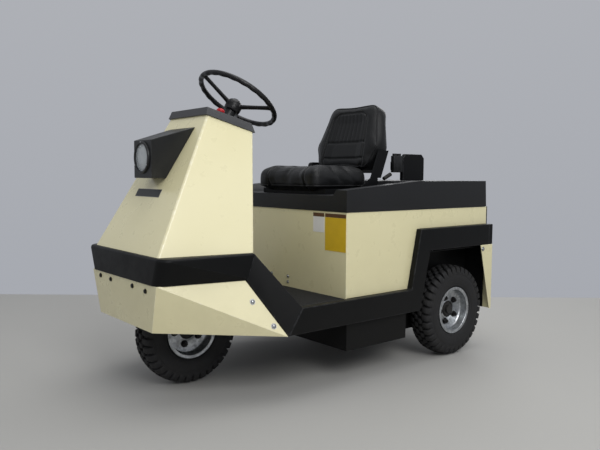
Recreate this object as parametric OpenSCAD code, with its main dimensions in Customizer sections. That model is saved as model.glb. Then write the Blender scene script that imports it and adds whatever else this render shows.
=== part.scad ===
// Three-wheel electric tow tractor, built as an assembly of separate pieces.
// X points forward, Y to the driver's left, Z up. The origin lies on the floor, in the middle of the
// tractor's length and width. Inside the modules x is measured from the rear axle.

/* [Overall] */
// Distance between the rear axle and the front wheel's centre
wheelbase = 1166; // [1080:1:1260]
// From the front wheel's centre to the front of the bumper
front_overhang = 277; // [262:1:330]
// From the rear axle to the back of the rear bumper
rear_overhang = 262; // [256:1:300]
// Width over the wheel arches
body_w = 920; // [912:1:980]
// From the body's side to the outer face of the rear tyres
tyre_inset = 12; // [10:1:25]

/* [Wheels] */
// Outer diameter over the lugs
tyre_od = 420; // [410:1:424]
// Section width of the tyre
tyre_w = 110; // [98:1:114]
// Lugs on each shoulder of a tyre
lug_count = 36; // [30:1:36]
// Depth of the grooves between the lugs
lug_h = 9; // [7:1:12]
// Outer diameter of the rim's flanges
flange_od = 218; // [212:1:226]
// Bead seat diameter of the rim
bead_d = 200; // [194:1:204]
// Width over the rim's flanges
rim_w = 92; // [84:1:96]
// Sheet thickness of the rim
rim_t = 5; // [4:0.5:7]
// Centre hole of the wheel disc
hub_hole_d = 78; // [66:1:84]
// Pitch circle of the wheel nuts
nut_pcd = 116; // [112:1:124]
// Wheel nuts on each wheel
nut_count = 5; // [4:1:6]

/* [Frame] */
// Height of the black band that runs round the tractor
band_h = 98; // [90:1:104]
// Depth of the band along the sides
frame_depth = 30; // [24:1:34]
// Depth of the band at the nose
bumper_depth = 40; // [34:1:48]
// Underside of the front bumper
bumper_z = 450; // [448:1:470]
// Half width of the nose at the bumper's underside
nose_half = 281; // [266:1:296]
// Half width of the nose at the bumper's top
nose_top_half = 321; // [300:1:334]
// Half width of the nose at the rear edge of the cowl
nose_rear_half = 352; // [340:1:366]
// Bend radius of the bumper's front corners
nose_bend_r = 46; // [42:1:60]
// Radius of the bumper's rounded top edge
bumper_edge_r = 12; // [8:1:14]
// Underside of the sill
sill_z = 246; // [236:1:250]
// Underside of the wheel arch band
arch_z = 506; // [496:1:512]
// Thickness of the floor plate
floor_t = 10; // [8:1:12]
// Thickness of the rubber mat on the floor plate
mat_t = 4; // [3:0.5:6]

/* [Cowl] */
// Ledge left between the cowl and the bumper's edge
cowl_ledge = 15; // [12:1:18]
// Sheet thickness of the cowl
cowl_t = 4; // [3:0.5:6]
// Height of the cowl's top front edge above the floor
cowl_front_z = 1060; // [1030:1:1080]
// Height of the cowl's top rear edge above the floor
cowl_rear_z = 1000; // [980:1:1020]
// Half width of the cowl's top at the front
cowl_front_half = 144; // [136:1:160]
// Half width of the cowl's top at the rear
cowl_rear_half = 197; // [188:1:206]
// Thickness of the black dash cap
cap_t = 33; // [26:1:38]
// Width of the headlamp housing
lamp_box_w = 144; // [136:1:152]
// Diameter of the headlamp's bezel
lamp_d = 118; // [110:1:124]

/* [Steering] */
// Outer diameter of the steering wheel
steering_d = 364; // [350:1:380]
// Diameter of the steering wheel's grip
grip_d = 22; // [18:1:26]
// Lean of the steering column from the vertical
column_lean = 33.6; // [30:0.1:36]

/* [Battery box and lid] */
// Sheet thickness of the body panels
panel_t = 6; // [4:0.5:6]
// Height of the panels' top edge
panel_top_z = 688; // [676:1:700]
// From the rear axle to the front panel
panel_front_x = 691; // [684:1:700]
// Height of the lid's rear deck above the panels
deck_rise = 124; // [114:1:134]
// Height of the lid's side rims at the front above the panels
rim_rise = 88; // [80:1:98]
// Height of the floor of the seat recess above the panels
recess_rise = 65; // [58:1:70]
// Sheet thickness of the lid
lid_t = 5; // [4:0.5:6]
// Underside of the battery tray
tray_z = 130; // [120:1:136]

/* [Seat] */
// Width of the seat cushion at its front
cushion_w = 444; // [420:1:460]
// Width of the seat cushion at its rear
cushion_rear_w = 406; // [390:1:408]
// Length of the seat cushion
cushion_l = 370; // [360:1:390]
// Thickness of the seat cushion
cushion_t = 98; // [90:1:104]
// Width of the backrest
backrest_w = 424; // [410:1:440]
// Height of the backrest from its foot to its top
backrest_h = 310; // [294:1:334]

/* [Hidden] */
$fn = 64;

// Colours of the finishes
cream = [0.86, 0.83, 0.66];
black = [0.06, 0.06, 0.065];
rubber = [0.05, 0.05, 0.05];
silver = [0.72, 0.73, 0.74];
dark_steel = [0.2, 0.2, 0.21];
grey = [0.35, 0.36, 0.37];
red = [0.62, 0.08, 0.09];
clear = [0.85, 0.9, 0.92, 0.4];

// Clearance between flat pieces that move on each other, between shafts and bores, and beside wheels
seat_gap = 0.3;
bore_gap = 0.05;
wheel_gap = 6;
// Length that every cut runs past the piece it cuts
over = 1;
// Thickness of the layers that a rounded form is stretched over
slice = 0.5;

// Places along the tractor, from the rear axle
nose_x = wheelbase + front_overhang;
tail_x = -rear_overhang;
hitch_reach = 108;
mid_x = (nose_x + tail_x - hitch_reach) / 2;
body_half = body_w / 2;
panel_half = body_half - frame_depth;
tyre_r = tyre_od / 2;
axle_z = tyre_r;
track_half = body_half - tyre_inset - tyre_w / 2;

// Band heights
bumper_top_z = bumper_z + band_h;
sill_top_z = sill_z + band_h;
arch_top_z = arch_z + band_h;

// Plan of the nose: a straight front, bent corners and sides that spread towards the rear
stringer_top_back = 85;
stringer_low_back = 54;
stringer_top_x = wheelbase - stringer_top_back;
stringer_low_x = wheelbase - stringer_low_back;
nose_side_run = nose_x - stringer_top_x;
nose_steps = 6;
edge_steps = 3;

// Half width of the nose at a place along the tractor, at its foot and at its top
function side_y(front_half, x) =
    front_half + (nose_x - x) * (nose_rear_half - front_half) / nose_side_run;
function nose_y(x) = side_y(nose_half, x);
function nose_top_y(x) = side_y(nose_top_half, x);

// Outline of the nose with the front half width given, moved inwards by inset, back to end_x
function nose_corner(front_half, inset) =
    let(angle = atan((nose_rear_half - front_half) / nose_side_run),
        cx = nose_x - nose_bend_r, cy = side_y(front_half, cx) - nose_bend_r / cos(angle))
    [for (i = [0 : nose_steps])
        let(a = i * (90 - angle) / nose_steps)
        [cx + (nose_bend_r - inset) * cos(a), cy + (nose_bend_r - inset) * sin(a)]];
function nose_end(front_half, inset, end_x) =
    let(angle = atan((nose_rear_half - front_half) / nose_side_run))
    [[end_x, side_y(front_half, end_x) - inset / cos(angle)]];
function flipped(points) = [for (i = [len(points) - 1 : -1 : 0]) [points[i][0], -points[i][1]]];
function nose_half_outline(front_half, inset, end_x) =
    concat(nose_corner(front_half, inset), nose_end(front_half, inset, end_x));
function nose_outline(front_half, inset, end_x) =
    concat(nose_half_outline(front_half, inset, end_x), flipped(nose_half_outline(front_half, inset, end_x)));

// Foot of the stringers and of the toe board
step_back = 229;
step_tip_back = 163;
step_x = wheelbase - step_back;
step_tip_x = wheelbase - step_tip_back;

// Wheel arch: the leg leans back as it rises, and the opening follows it
leg_low_x = 326;
leg_high_x = 270;
opening_low_x = 268;
opening_high_x = 206;

// Cowl
cowl_bottom_z = bumper_top_z;
cowl_nose_x = nose_x - cowl_ledge;
cowl_foot_back = 93;
cowl_front_back = 13;
cowl_rear_back = 189;
cowl_foot_x = wheelbase - cowl_foot_back;
cowl_top_front_x = wheelbase - cowl_front_back;
cowl_top_rear_x = wheelbase - cowl_rear_back;
cowl_bottom = [
    [cowl_foot_x, -(nose_y(cowl_foot_x) - cowl_ledge)],
    [cowl_nose_x, -(nose_y(cowl_nose_x) - cowl_ledge)],
    [cowl_nose_x, nose_y(cowl_nose_x) - cowl_ledge],
    [cowl_foot_x, nose_y(cowl_foot_x) - cowl_ledge]];
cowl_top = [
    [cowl_top_rear_x, -cowl_rear_half, cowl_rear_z],
    [cowl_top_front_x, -cowl_front_half, cowl_front_z],
    [cowl_top_front_x, cowl_front_half, cowl_front_z],
    [cowl_top_rear_x, cowl_rear_half, cowl_rear_z]];
cowl_face_slope = (cowl_nose_x - cowl_top_front_x) / (cowl_front_z - cowl_bottom_z);

// Place along the tractor of the cowl's front face at a height
function cowl_face_x(z) = cowl_nose_x - (z - cowl_bottom_z) * cowl_face_slope;

// Dash cap
cap_overhang = 6;
cap_taper = 10;
cap_slope = (cowl_front_z - cowl_rear_z) / (cowl_top_front_x - cowl_top_rear_x);

// Headlamp
lamp_back = 93;
lamp_box_x = nose_x - lamp_back;
lamp_box_low_z = 820;
lamp_box_high_z = 963;
lamp_box_back_z = 1016;
lamp_foot_half = 60;
lamp_tip_half = 98;
lamp_z = 898;
lamp_bore_depth = 46;
lamp_rim_t = 6;
lamp_floor_d = 80;
lamp_glass_t = 5;
lamp_dome = 9;
lens_steps = 8;

// Steering wheel and column
steering_back = 249;
steering_x = wheelbase - steering_back;
steering_z = 1149;
steering_r = (steering_d - grip_d) / 2;
hub_d = 70;
hub_h = 56;
hub_drop = 8;
hub_edge = 14;
spoke_w = 20;
spoke_t = 16;
spoke_angles = [-12, 116, 232];
column_d = 44;
column_l = 150;
shaft_d = 20;
shaft_l = 90;

// Front fork and its head
crown_gap = 8;
crown_t = 14;
plate_gap = 6;
head_plate_t = 8;
head_d = 84;
head_h = 96;
king_d = 44;
arm_t = 22;
arm_w = 90;
crown_z = tyre_od + crown_gap;
head_plate_z = crown_z + crown_t + plate_gap;

// Wheel parts
disc_t = 8;
nut_d = 22;
nut_h = 13;
drum_d = 158;
tread_share = 0.93;
shoulder_drop = 13;
crown_drop = 5;
crown_edge_share = 0.8;
crown_share = 0.2;
// Both edges of a lug and the groove after it, as shares of the pitch
lug_turn_shares = [-0.34, 0.34, 0.5];
// Turn of one side's lugs against the other's, as a share of the pitch
stagger_share = 0.5;
drum_l = 46;
hub_nose_l = 26;
spindle_d = 40;
spindle_out = 20;

// Rear axle, motor and chassis plates
well_gap = 16;
well_half = track_half - tyre_w / 2 - well_gap;
chassis_t = 12;
bulkhead_x = 322;
bulkhead_t = 8;
axle_d = 76;
diff_d = 210;
diff_w = 170;
diff_flange_x = 110;
motor_d = 196;
motor_l = 205;
motor_rise = 56;
motor_z = axle_z + motor_rise;
flange_share = 0.6;
tray_t = 8;
battery_gap = 8;
battery_drop = 48;
battery_top_z = panel_top_z - battery_drop;
well_t = 4;
well_top_z = 494;
well_back_x = -236;
well_low_z = 196;

// Skirts
skirt_t = 4;
skirt_low_z = 278;
skirt_low_half = 226;
skirt_rake = 12;
skirt_low_x = nose_x - skirt_rake;
tail_low_z = 190;
tail_top_x = -168;
tail_low_x = -249;

// Tow hitch
hitch_plate_w = 170;
hitch_plate_h = 180;
hitch_plate_t = 14;
hitch_z = 318;
jaw_gap = 46;
jaw_t = 18;
jaw_w = 96;
pin_d = 28;

// Lid
deck_z = panel_top_z + deck_rise;
rim_front_z = panel_top_z + rim_rise;
recess_z = panel_top_z + recess_rise;
lid_overhang = 3;
lid_half = panel_half + lid_overhang;
lid_front_x = panel_front_x + lid_overhang;
lid_back_set = 22;
lid_back_x = tail_x + lid_back_set;
lid_web = 20;
lid_draft = 8;
cheek_foot = 81;
cheek_top = 37;
recess_half = lid_half - cheek_foot;
rim_half = lid_half - cheek_top;
recess_back_x = 292;
kink_x = 268;
hinge_d = 16;
hinge_set = 2;
hinge_x = lid_back_x - hinge_d / 2 - hinge_set;
hinge_z = panel_top_z + hinge_d / 2 + seat_gap;
hinge_pin_d = 8;
hinge_knuckle_l = 60;
hinge_place = 250;
hinge_places = [-hinge_place, hinge_place];

// Seat
seat_set = 6;
seat_back_x = recess_back_x + seat_set;
pan_t = 22;
cushion_z = recess_z + pan_t;
cushion_r = 48;
cushion_set = 14;
backrest_gap = 54;
backrest_foot_z = deck_z + backrest_gap;
backrest_foot_x = 322;
backrest_lean = 17;
backrest_t = 104;
backrest_r = 52;
backrest_edge = 14;
bar_w = 20;
bar_t = 8;
side_plate_t = 8;
side_plate_foot = 120;
side_plate_w = 84;
side_plate_rise = 12;
side_plate_step_z = deck_z + side_plate_rise;
left_plate_rise = 126;
right_plate_rise = 76;
left_plate_top_z = side_plate_step_z + left_plate_rise;
right_plate_top_z = side_plate_step_z + right_plate_rise;
left_plate_back = 28;
knob_x = 302;
knob_d = 34;
knob_z = right_plate_top_z - knob_d / 2;
knob_l = 28;
rear_step_share = 0.12;
rear_r_share = 0.96;

// Battery plug on its bracket behind the seat
bracket_x = -24;
bracket_l = 152;
bracket_y = 200;
bracket_w = 22;
bracket_h = 126;
bracket_cut = 18;
plug_l = 66;
plug_h = 88;
plug_rise = 38;
plug_z = deck_z + plug_rise;
lead_d = 18;
lead_foot_x = 266;
lead_set = 8;

// Moves a piece from the rear axle's frame to the tractor's middle
module placed() {
    translate([-mid_x, 0, 0]) children();
}

// Extrudes an outline drawn in x and z across the tractor, from y0 to y1
module across(y0, y1) {
    translate([0, y1, 0]) rotate([90, 0, 0]) linear_extrude(height = y1 - y0) children();
}

// Solid between a lower and an upper ring of four corners, each listed anticlockwise from above
module block8(low, high) {
    polyhedron(
        points = concat(low, high),
        faces = [[0, 1, 2], [0, 2, 3], [4, 5, 1], [4, 1, 0], [7, 6, 5], [7, 5, 4],
            [5, 6, 2], [5, 2, 1], [6, 7, 3], [6, 3, 2], [7, 4, 0], [7, 0, 3]]);
}

// Prism on three corners, its back moved by the vector named back
module sheet3(p, q, r, back) {
    polyhedron(
        points = concat([p, q, r], [p + back, q + back, r + back]),
        faces = [[0, 1, 2], [5, 4, 3], [0, 3, 4], [0, 4, 1], [1, 4, 5], [1, 5, 2], [2, 5, 3], [2, 3, 0]]);
}

// Cylinder along the y axis from y0 to y1
module rod_y(d, y0, y1) {
    translate([0, y0, 0]) rotate([-90, 0, 0]) cylinder(d = d, h = y1 - y0);
}

// Copies a left-hand piece to the side named: 1 for left, -1 for right
module on_side(side) {
    if (side > 0) children();
    else mirror([0, 1, 0]) children();
}

// Black box-section bumper round the nose, cut on the slant where the stringers begin
module front_bumper() {
    // Height above the underside and inset of each layer, from the foot to the rounded top edge
    layers = concat([[0, 0, nose_half]], [for (i = [0 : edge_steps]) let(a = 90 * i / edge_steps)
        [band_h - bumper_edge_r * (1 - sin(a)), bumper_edge_r * (1 - cos(a)), nose_top_half]]);
    color(black) placed() difference() {
        hull() for (layer = layers) translate([0, 0, bumper_z + max(0, layer[0] - slice)])
            linear_extrude(height = slice) polygon(nose_outline(layer[2], layer[1], stringer_top_x));
        translate([0, 0, bumper_z - over]) linear_extrude(height = band_h + 2 * over)
            polygon(nose_outline(nose_half, bumper_depth, stringer_top_x - over));
        across(-body_half, body_half) polygon([
            [stringer_top_x - over, bumper_z - over],
            [stringer_low_x + over * (stringer_low_x - stringer_top_x) / band_h, bumper_z - over],
            [stringer_top_x, bumper_top_z],
            [stringer_top_x - over, bumper_top_z]]);
    }
}

// Band that runs from the bumper down and out to the sill
module step_stringer(side) {
    tip = [step_tip_x, body_half, sill_z];
    step = [step_x, body_half, sill_top_z];
    high = [stringer_top_x, nose_top_y(stringer_top_x), bumper_top_z];
    low = [stringer_low_x, nose_y(stringer_low_x), bumper_z];
    back = [0, -frame_depth, 0];
    color(black) placed() on_side(side) {
        sheet3(tip, high, step, back);
        sheet3(tip, low, high, back);
    }
}

// Sill, leg and wheel arch band of one side, one flat box section
module side_frame(side) {
    color(black) placed() on_side(side) across(panel_half, body_half) polygon([
        [step_tip_x, sill_z], [step_x, sill_top_z], [leg_low_x, sill_top_z],
        [leg_high_x, arch_top_z], [tail_x + frame_depth, arch_top_z], [tail_x + frame_depth, arch_z],
        [opening_high_x, arch_z], [opening_low_x, sill_z]]);
}

// Black band across the tail
module rear_bumper() {
    color(black) placed() translate([tail_x, -body_half, arch_z]) cube([frame_depth, body_w, band_h]);
}

// Cream plate under the rear bumper with a return at each side behind the wheel
module rear_skirt() {
    color(cream) placed() {
        translate([tail_x, -body_half, tail_low_z]) cube([skirt_t, body_w, arch_z - tail_low_z]);
        for (side = [1, -1]) on_side(side) across(body_half - skirt_t, body_half) polygon([
            [tail_x, tail_low_z], [tail_low_x, tail_low_z], [tail_top_x, arch_z], [tail_x, arch_z]]);
    }
}

// Cream skirt under the front bumper: a raked front and sides creased from the top corner to the tip
module front_skirt() {
    front_x = nose_x - skirt_t;
    top_half = nose_y(nose_x) - skirt_t;
    low_half = skirt_low_half;
    rear_y = nose_y(stringer_low_x) - skirt_t;
    back = [-skirt_t, -skirt_t, 0];
    rear = [stringer_low_x + skirt_t + seat_gap, rear_y, bumper_z];
    tip = [step_tip_x + skirt_t + seat_gap, body_half, sill_z];
    corner = [front_x, top_half, bumper_z];
    color(cream) placed() {
        block8(
            [[skirt_low_x - skirt_t, -low_half, skirt_low_z], [skirt_low_x, -low_half, skirt_low_z],
             [skirt_low_x, low_half, skirt_low_z], [skirt_low_x - skirt_t, low_half, skirt_low_z]],
            [[front_x - skirt_t, -top_half, bumper_z], [front_x, -top_half, bumper_z],
             [front_x, top_half, bumper_z], [front_x - skirt_t, top_half, bumper_z]]);
        for (side = [1, -1]) on_side(side) {
            sheet3(corner, rear, tip, back);
            sheet3(corner, tip, [skirt_low_x, low_half, skirt_low_z], back);
        }
    }
}

// Plate inside the bumper that carries the steering head
module head_plate() {
    end_x = step_x + (head_plate_z + head_plate_t - sill_top_z) * (cowl_foot_x - step_x)
        / (bumper_top_z - sill_top_z) + floor_t + head_plate_t;
    color(black) placed() difference() {
        translate([0, 0, head_plate_z]) linear_extrude(height = head_plate_t)
            polygon(nose_outline(nose_half, bumper_depth + seat_gap, end_x));
        translate([wheelbase, 0, head_plate_z - over])
            cylinder(d = king_d + 2 * over, h = head_plate_t + 2 * over);
    }
}

// Slanting board from the floor to the foot of the cowl
module toe_board() {
    low_half = panel_half - wheel_gap;
    high_half = nose_y(stringer_top_x) - bumper_depth - wheel_gap;
    low_x = step_x + floor_t;
    color(black) placed() block8(
        [[step_x, -low_half, sill_top_z - floor_t], [low_x, -low_half, sill_top_z - floor_t],
         [low_x, low_half, sill_top_z - floor_t], [step_x, low_half, sill_top_z - floor_t]],
        [[cowl_foot_x, -high_half, bumper_top_z], [cowl_foot_x + floor_t, -high_half, bumper_top_z],
         [cowl_foot_x + floor_t, high_half, bumper_top_z], [cowl_foot_x, high_half, bumper_top_z]]);
}

// Floor plate between the sills
module floor_plate() {
    back_x = panel_front_x - panel_t;
    color(black) placed() translate([back_x, -panel_half, sill_top_z - mat_t - floor_t])
        cube([step_x - back_x, 2 * panel_half, floor_t]);
}

// Rubber mat on the floor plate
module floor_mat() {
    color(rubber) placed() translate([panel_front_x + mat_t, -panel_half + mat_t, sill_top_z - mat_t])
        cube([step_x - panel_front_x - 3 * mat_t, 2 * (panel_half - mat_t), mat_t]);
}

// Cream cowl, an open-ended shell of folded sheet
module cowl() {
    low = [for (p = cowl_bottom) [p[0], p[1], cowl_bottom_z]];
    // Corners moved inwards by the sheet's thickness: the rear pair forwards, the front pair back
    pull = [[1, 1], [-1, 1], [-1, -1], [1, -1]];
    inner_low = [for (i = [0 : 3])
        [low[i][0] + pull[i][0] * cowl_t, low[i][1] + pull[i][1] * cowl_t, cowl_bottom_z - over]];
    inner_top = [for (i = [0 : 3])
        [cowl_top[i][0] + pull[i][0] * cowl_t, cowl_top[i][1] + pull[i][1] * cowl_t,
         cowl_top[i][2] + pull[i][0] * cowl_t * cap_slope + over]];
    color(cream) placed() difference() {
        block8(low, cowl_top);
        block8(inner_low, inner_top);
    }
}

// Black cap on the cowl, sloping towards the driver
module dash_cap() {
    grow = [[-1, -1], [1, -1], [1, 1], [-1, 1]];
    low = [for (i = [0 : 3]) [
        cowl_top[i][0] + grow[i][0] * cap_overhang, cowl_top[i][1] + grow[i][1] * cap_overhang,
        cowl_top[i][2] + grow[i][0] * cap_overhang * cap_slope]];
    high = [for (i = [0 : 3]) [
        low[i][0] - grow[i][0] * cap_taper, low[i][1] - grow[i][1] * cap_taper,
        low[i][2] + cap_t - grow[i][0] * cap_taper * cap_slope]];
    color(black) placed() difference() {
        block8(low, high);
        on_column() translate([0, 0, -column_l - hub_drop - hub_h])
            cylinder(d = column_d + 2 * seat_gap, h = column_l + hub_drop + hub_h);
    }
}

// Height of the cap's top face at a place along the tractor
function cap_top_z(x) = cowl_rear_z + cap_t + (x - cowl_top_rear_x) * cap_slope;

// Red push button on the cap
button_back = 98;
button_x = cowl_top_front_x - button_back;
button_y = 70;
button_d = 34;
button_h = 38;
button_neck_d = 24;
button_neck_h = 22;
module stop_button() {
    color(red) placed() translate([button_x, button_y, cap_top_z(button_x)])
        rotate([0, -atan(cap_slope), 0]) {
            translate([0, 0, seat_gap]) cylinder(d = button_neck_d, h = button_neck_h);
            translate([0, 0, seat_gap + button_neck_h]) cylinder(d = button_d, h = button_h - button_neck_h);
        }
}

// Wedge-shaped headlamp housing on the cowl's front face, wider towards its tip
module lamp_box() {
    half = lamp_box_w / 2;
    foot_x = cowl_face_x(lamp_box_low_z) + seat_gap;
    tip_x = cowl_face_x(lamp_box_back_z) + seat_gap;
    color(black) placed() difference() {
        block8(
            [[foot_x, -lamp_foot_half, lamp_box_low_z], [lamp_box_x, -half, lamp_box_low_z],
             [lamp_box_x, half, lamp_box_low_z], [foot_x, lamp_foot_half, lamp_box_low_z]],
            [[tip_x, -lamp_tip_half, lamp_box_back_z], [lamp_box_x, -half, lamp_box_high_z],
             [lamp_box_x, half, lamp_box_high_z], [tip_x, lamp_tip_half, lamp_box_back_z]]);
        translate([lamp_box_x + over, 0, lamp_z]) rotate([0, -90, 0])
            cylinder(d = lamp_d, h = lamp_bore_depth + over);
    }
}

// Bowl of the headlamp with its bezel ring
module lamp_reflector() {
    r = lamp_d / 2 - seat_gap;
    color(silver) placed() translate([lamp_box_x - lamp_bore_depth, 0, lamp_z]) rotate([0, 90, 0])
        rotate_extrude() polygon([
            [0, 0], [lamp_floor_d / 2, 0], [r, lamp_bore_depth / 2], [r, lamp_bore_depth + lamp_rim_t],
            [r - lamp_rim_t, lamp_bore_depth + lamp_rim_t],
            [r - lamp_rim_t, lamp_bore_depth / 2 + lamp_rim_t],
            [lamp_floor_d / 2 - lamp_rim_t / 2, lamp_rim_t], [0, lamp_rim_t]]);
}

// Domed glass of the headlamp
module lamp_lens() {
    r = lamp_d / 2 - lamp_rim_t - 2 * seat_gap;
    dome_r = (r * r + lamp_dome * lamp_dome) / (2 * lamp_dome);
    sweep = asin(r / dome_r);
    dome = [for (i = [0 : lens_steps]) let(a = sweep * (1 - i / lens_steps))
        [dome_r * sin(a), lamp_glass_t + lamp_dome - dome_r + dome_r * cos(a)]];
    color(clear) placed() translate([lamp_box_x - lamp_glass_t, 0, lamp_z]) rotate([0, 90, 0])
        rotate_extrude() polygon(concat([[0, 0], [r, 0]], dome));
}

// Brake pad and accelerator plate, each on a stalk that stands on the toe board
brake_w = 90;
brake_h = 62;
brake_y = 60;
gas_w = 66;
gas_h = 128;
gas_y = -150;
pedal_t = 12;
pedal_stand = 40;
pedal_arm = 22;
pedal_top = 178;
module pedals() {
    lean = atan((cowl_foot_x - step_x) / (bumper_top_z - sill_top_z + floor_t));
    color(rubber) placed() translate([step_x, 0, sill_top_z - floor_t]) rotate([0, lean, 0])
        for (pedal = [[brake_y, brake_w, brake_h], [gas_y, gas_w, gas_h]])
            translate([0, pedal[0], pedal_top - pedal[2]]) {
                translate([-pedal_stand, -pedal[1] / 2, 0]) cube([pedal_t, pedal[1], pedal[2]]);
                translate([pedal_t - pedal_stand, -pedal_arm / 2, (pedal[2] - pedal_arm) / 2])
                    cube([pedal_stand - pedal_t - seat_gap, pedal_arm, pedal_arm]);
            }
}

// Cream panel in front of the battery, facing the driver's legs
module front_panel() {
    color(cream) placed() translate([panel_front_x - panel_t, -panel_half, sill_top_z - mat_t])
        cube([panel_t, 2 * panel_half, panel_top_z - sill_top_z + mat_t]);
}

// Cream side panel above the sill, cut away over the wheel
panel_lap = 24;
module side_panel(side) {
    back_x = tail_x + frame_depth / 2;
    color(cream) placed() on_side(side) across(panel_half - panel_t, panel_half) polygon([
        [panel_front_x - panel_t, sill_top_z], [panel_front_x - panel_t, panel_top_z], [back_x, panel_top_z],
        [back_x, arch_top_z], [leg_high_x - panel_lap, arch_top_z], [leg_low_x - panel_lap, sill_top_z]]);
}

// Black plate that closes the battery box at the rear, with the fixed half of the lid's hinges
module rear_plate() {
    x = tail_x + frame_depth / 2;
    color(black) placed() {
        difference() {
            union() {
                translate([x - panel_t, -panel_half, arch_top_z])
                    cube([panel_t, 2 * panel_half, panel_top_z - arch_top_z]);
                for (y = hinge_places) translate([hinge_x, 0, hinge_z]) {
                    rod_y(hinge_d, y - hinge_knuckle_l, y);
                    translate([-hinge_d / 2, y - hinge_knuckle_l, -hinge_d])
                        cube([hinge_d / 2, hinge_knuckle_l, hinge_d]);
                }
            }
            for (y = hinge_places) translate([hinge_x, 0, hinge_z])
                rod_y(hinge_pin_d, y - hinge_knuckle_l / 2, y + over);
        }
    }
}

// Welded plates beside the rear wheels and behind the battery, which carry the axle
module chassis_box() {
    back_x = tail_x + skirt_t;
    beam_t = frame_depth - skirt_t - well_t;
    color(black) placed() difference() {
        union() {
            for (side = [1, -1]) on_side(side) translate([back_x, well_half - chassis_t, tray_z])
                cube([bulkhead_x - back_x, chassis_t, arch_z - tray_z]);
            translate([bulkhead_x, -panel_half + panel_t, tray_z])
                cube([bulkhead_t, 2 * (panel_half - panel_t), battery_top_z - tray_z]);
            translate([back_x, -well_half + chassis_t, tail_low_z])
                cube([beam_t, 2 * (well_half - chassis_t), arch_z - tail_low_z]);
        }
        translate([0, 0, axle_z]) rod_y(axle_d + 2 * seat_gap, -body_half, body_half);
    }
}

// Bent sheets over the rear wheels
module wheel_wells() {
    back_x = well_back_x;
    front_low_x = opening_low_x + well_t;
    color(black) placed() for (side = [1, -1]) on_side(side) across(well_half, panel_half) polygon([
        [back_x, well_low_z], [back_x, well_top_z + well_t], [opening_high_x + well_t, well_top_z + well_t],
        [front_low_x, sill_z], [front_low_x - well_t, sill_z], [opening_high_x, well_top_z],
        [back_x + well_t, well_top_z], [back_x + well_t, well_low_z]]);
}

// Open tray that carries the battery between the sills
module battery_tray() {
    x0 = bulkhead_x + bulkhead_t;
    x1 = panel_front_x - panel_t;
    color(black) placed() difference() {
        translate([x0, -panel_half, tray_z]) cube([x1 - x0, 2 * panel_half, sill_top_z - tray_z]);
        translate([x0 - over, -panel_half + panel_t, tray_z + tray_t])
            cube([x1 - x0 - panel_t + over, 2 * (panel_half - panel_t), sill_top_z - tray_z]);
    }
}

// Traction battery, a plain block
module battery() {
    x0 = bulkhead_x + bulkhead_t + battery_gap;
    x1 = panel_front_x - 2 * panel_t - battery_gap;
    half = panel_half - panel_t - battery_gap;
    color(grey) placed() translate([x0, -half, tray_z + tray_t])
        cube([x1 - x0, 2 * half, battery_top_z - tray_z - tray_t]);
}

// Axle tube with its differential and the wheel spindles
module rear_axle() {
    drum_y = track_half - disc_t / 2 - drum_l;
    color(dark_steel) placed() translate([0, 0, axle_z]) {
        rod_y(axle_d, -drum_y + wheel_gap, drum_y - wheel_gap);
        rod_y(spindle_d, -track_half - spindle_out, track_half + spindle_out);
        rod_y(diff_d, -diff_w / 2, diff_w / 2);
        translate([0, 0, motor_rise]) rotate([0, 90, 0])
            cylinder(d = motor_d * flange_share, h = diff_flange_x);
    }
}

// Drive motor in front of the differential
module drive_motor() {
    color(dark_steel) placed() translate([diff_flange_x, 0, motor_z]) rotate([0, 90, 0])
        cylinder(d = motor_d, h = motor_l);
}

// Two-jaw coupling bolted to the tail
module tow_hitch() {
    jaw_x = hitch_reach - jaw_w / 2;
    color(dark_steel) placed() translate([tail_x, 0, hitch_z]) difference() {
        union() {
            translate([-hitch_plate_t, -hitch_plate_w / 2, -hitch_plate_h / 2])
                cube([hitch_plate_t, hitch_plate_w, hitch_plate_h]);
            for (z = [jaw_gap / 2, -jaw_gap / 2 - jaw_t]) translate([0, 0, z]) {
                translate([-jaw_x, -jaw_w / 2, 0]) cube([jaw_x - hitch_plate_t / 2, jaw_w, jaw_t]);
                translate([-jaw_x, 0, 0]) cylinder(d = jaw_w, h = jaw_t);
            }
        }
        translate([-jaw_x, 0, -hitch_plate_h]) cylinder(d = pin_d, h = 2 * hitch_plate_h);
    }
}

// Bearing tube for the fork's king pin
module steering_head() {
    color(dark_steel) placed() translate([wheelbase, 0, head_plate_z + head_plate_t]) difference() {
        cylinder(d = head_d, h = head_h);
        translate([0, 0, -over]) cylinder(d = king_d + 2 * bore_gap, h = head_h + 2 * over);
    }
}

// Frame of the steering column: z along the column, zero in the plane of the wheel's grip
module on_column() {
    translate([steering_x, 0, steering_z]) rotate([0, -column_lean, 0]) children();
}

// Fixed column tube that comes out of the cap
module steering_column() {
    top = -hub_drop - hub_h - seat_gap;
    color(black) placed() on_column() difference() {
        translate([0, 0, top - column_l]) cylinder(d = column_d, h = column_l);
        translate([0, 0, top - shaft_l - over]) cylinder(d = shaft_d + 2 * bore_gap, h = shaft_l + 2 * over);
    }
}

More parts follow.
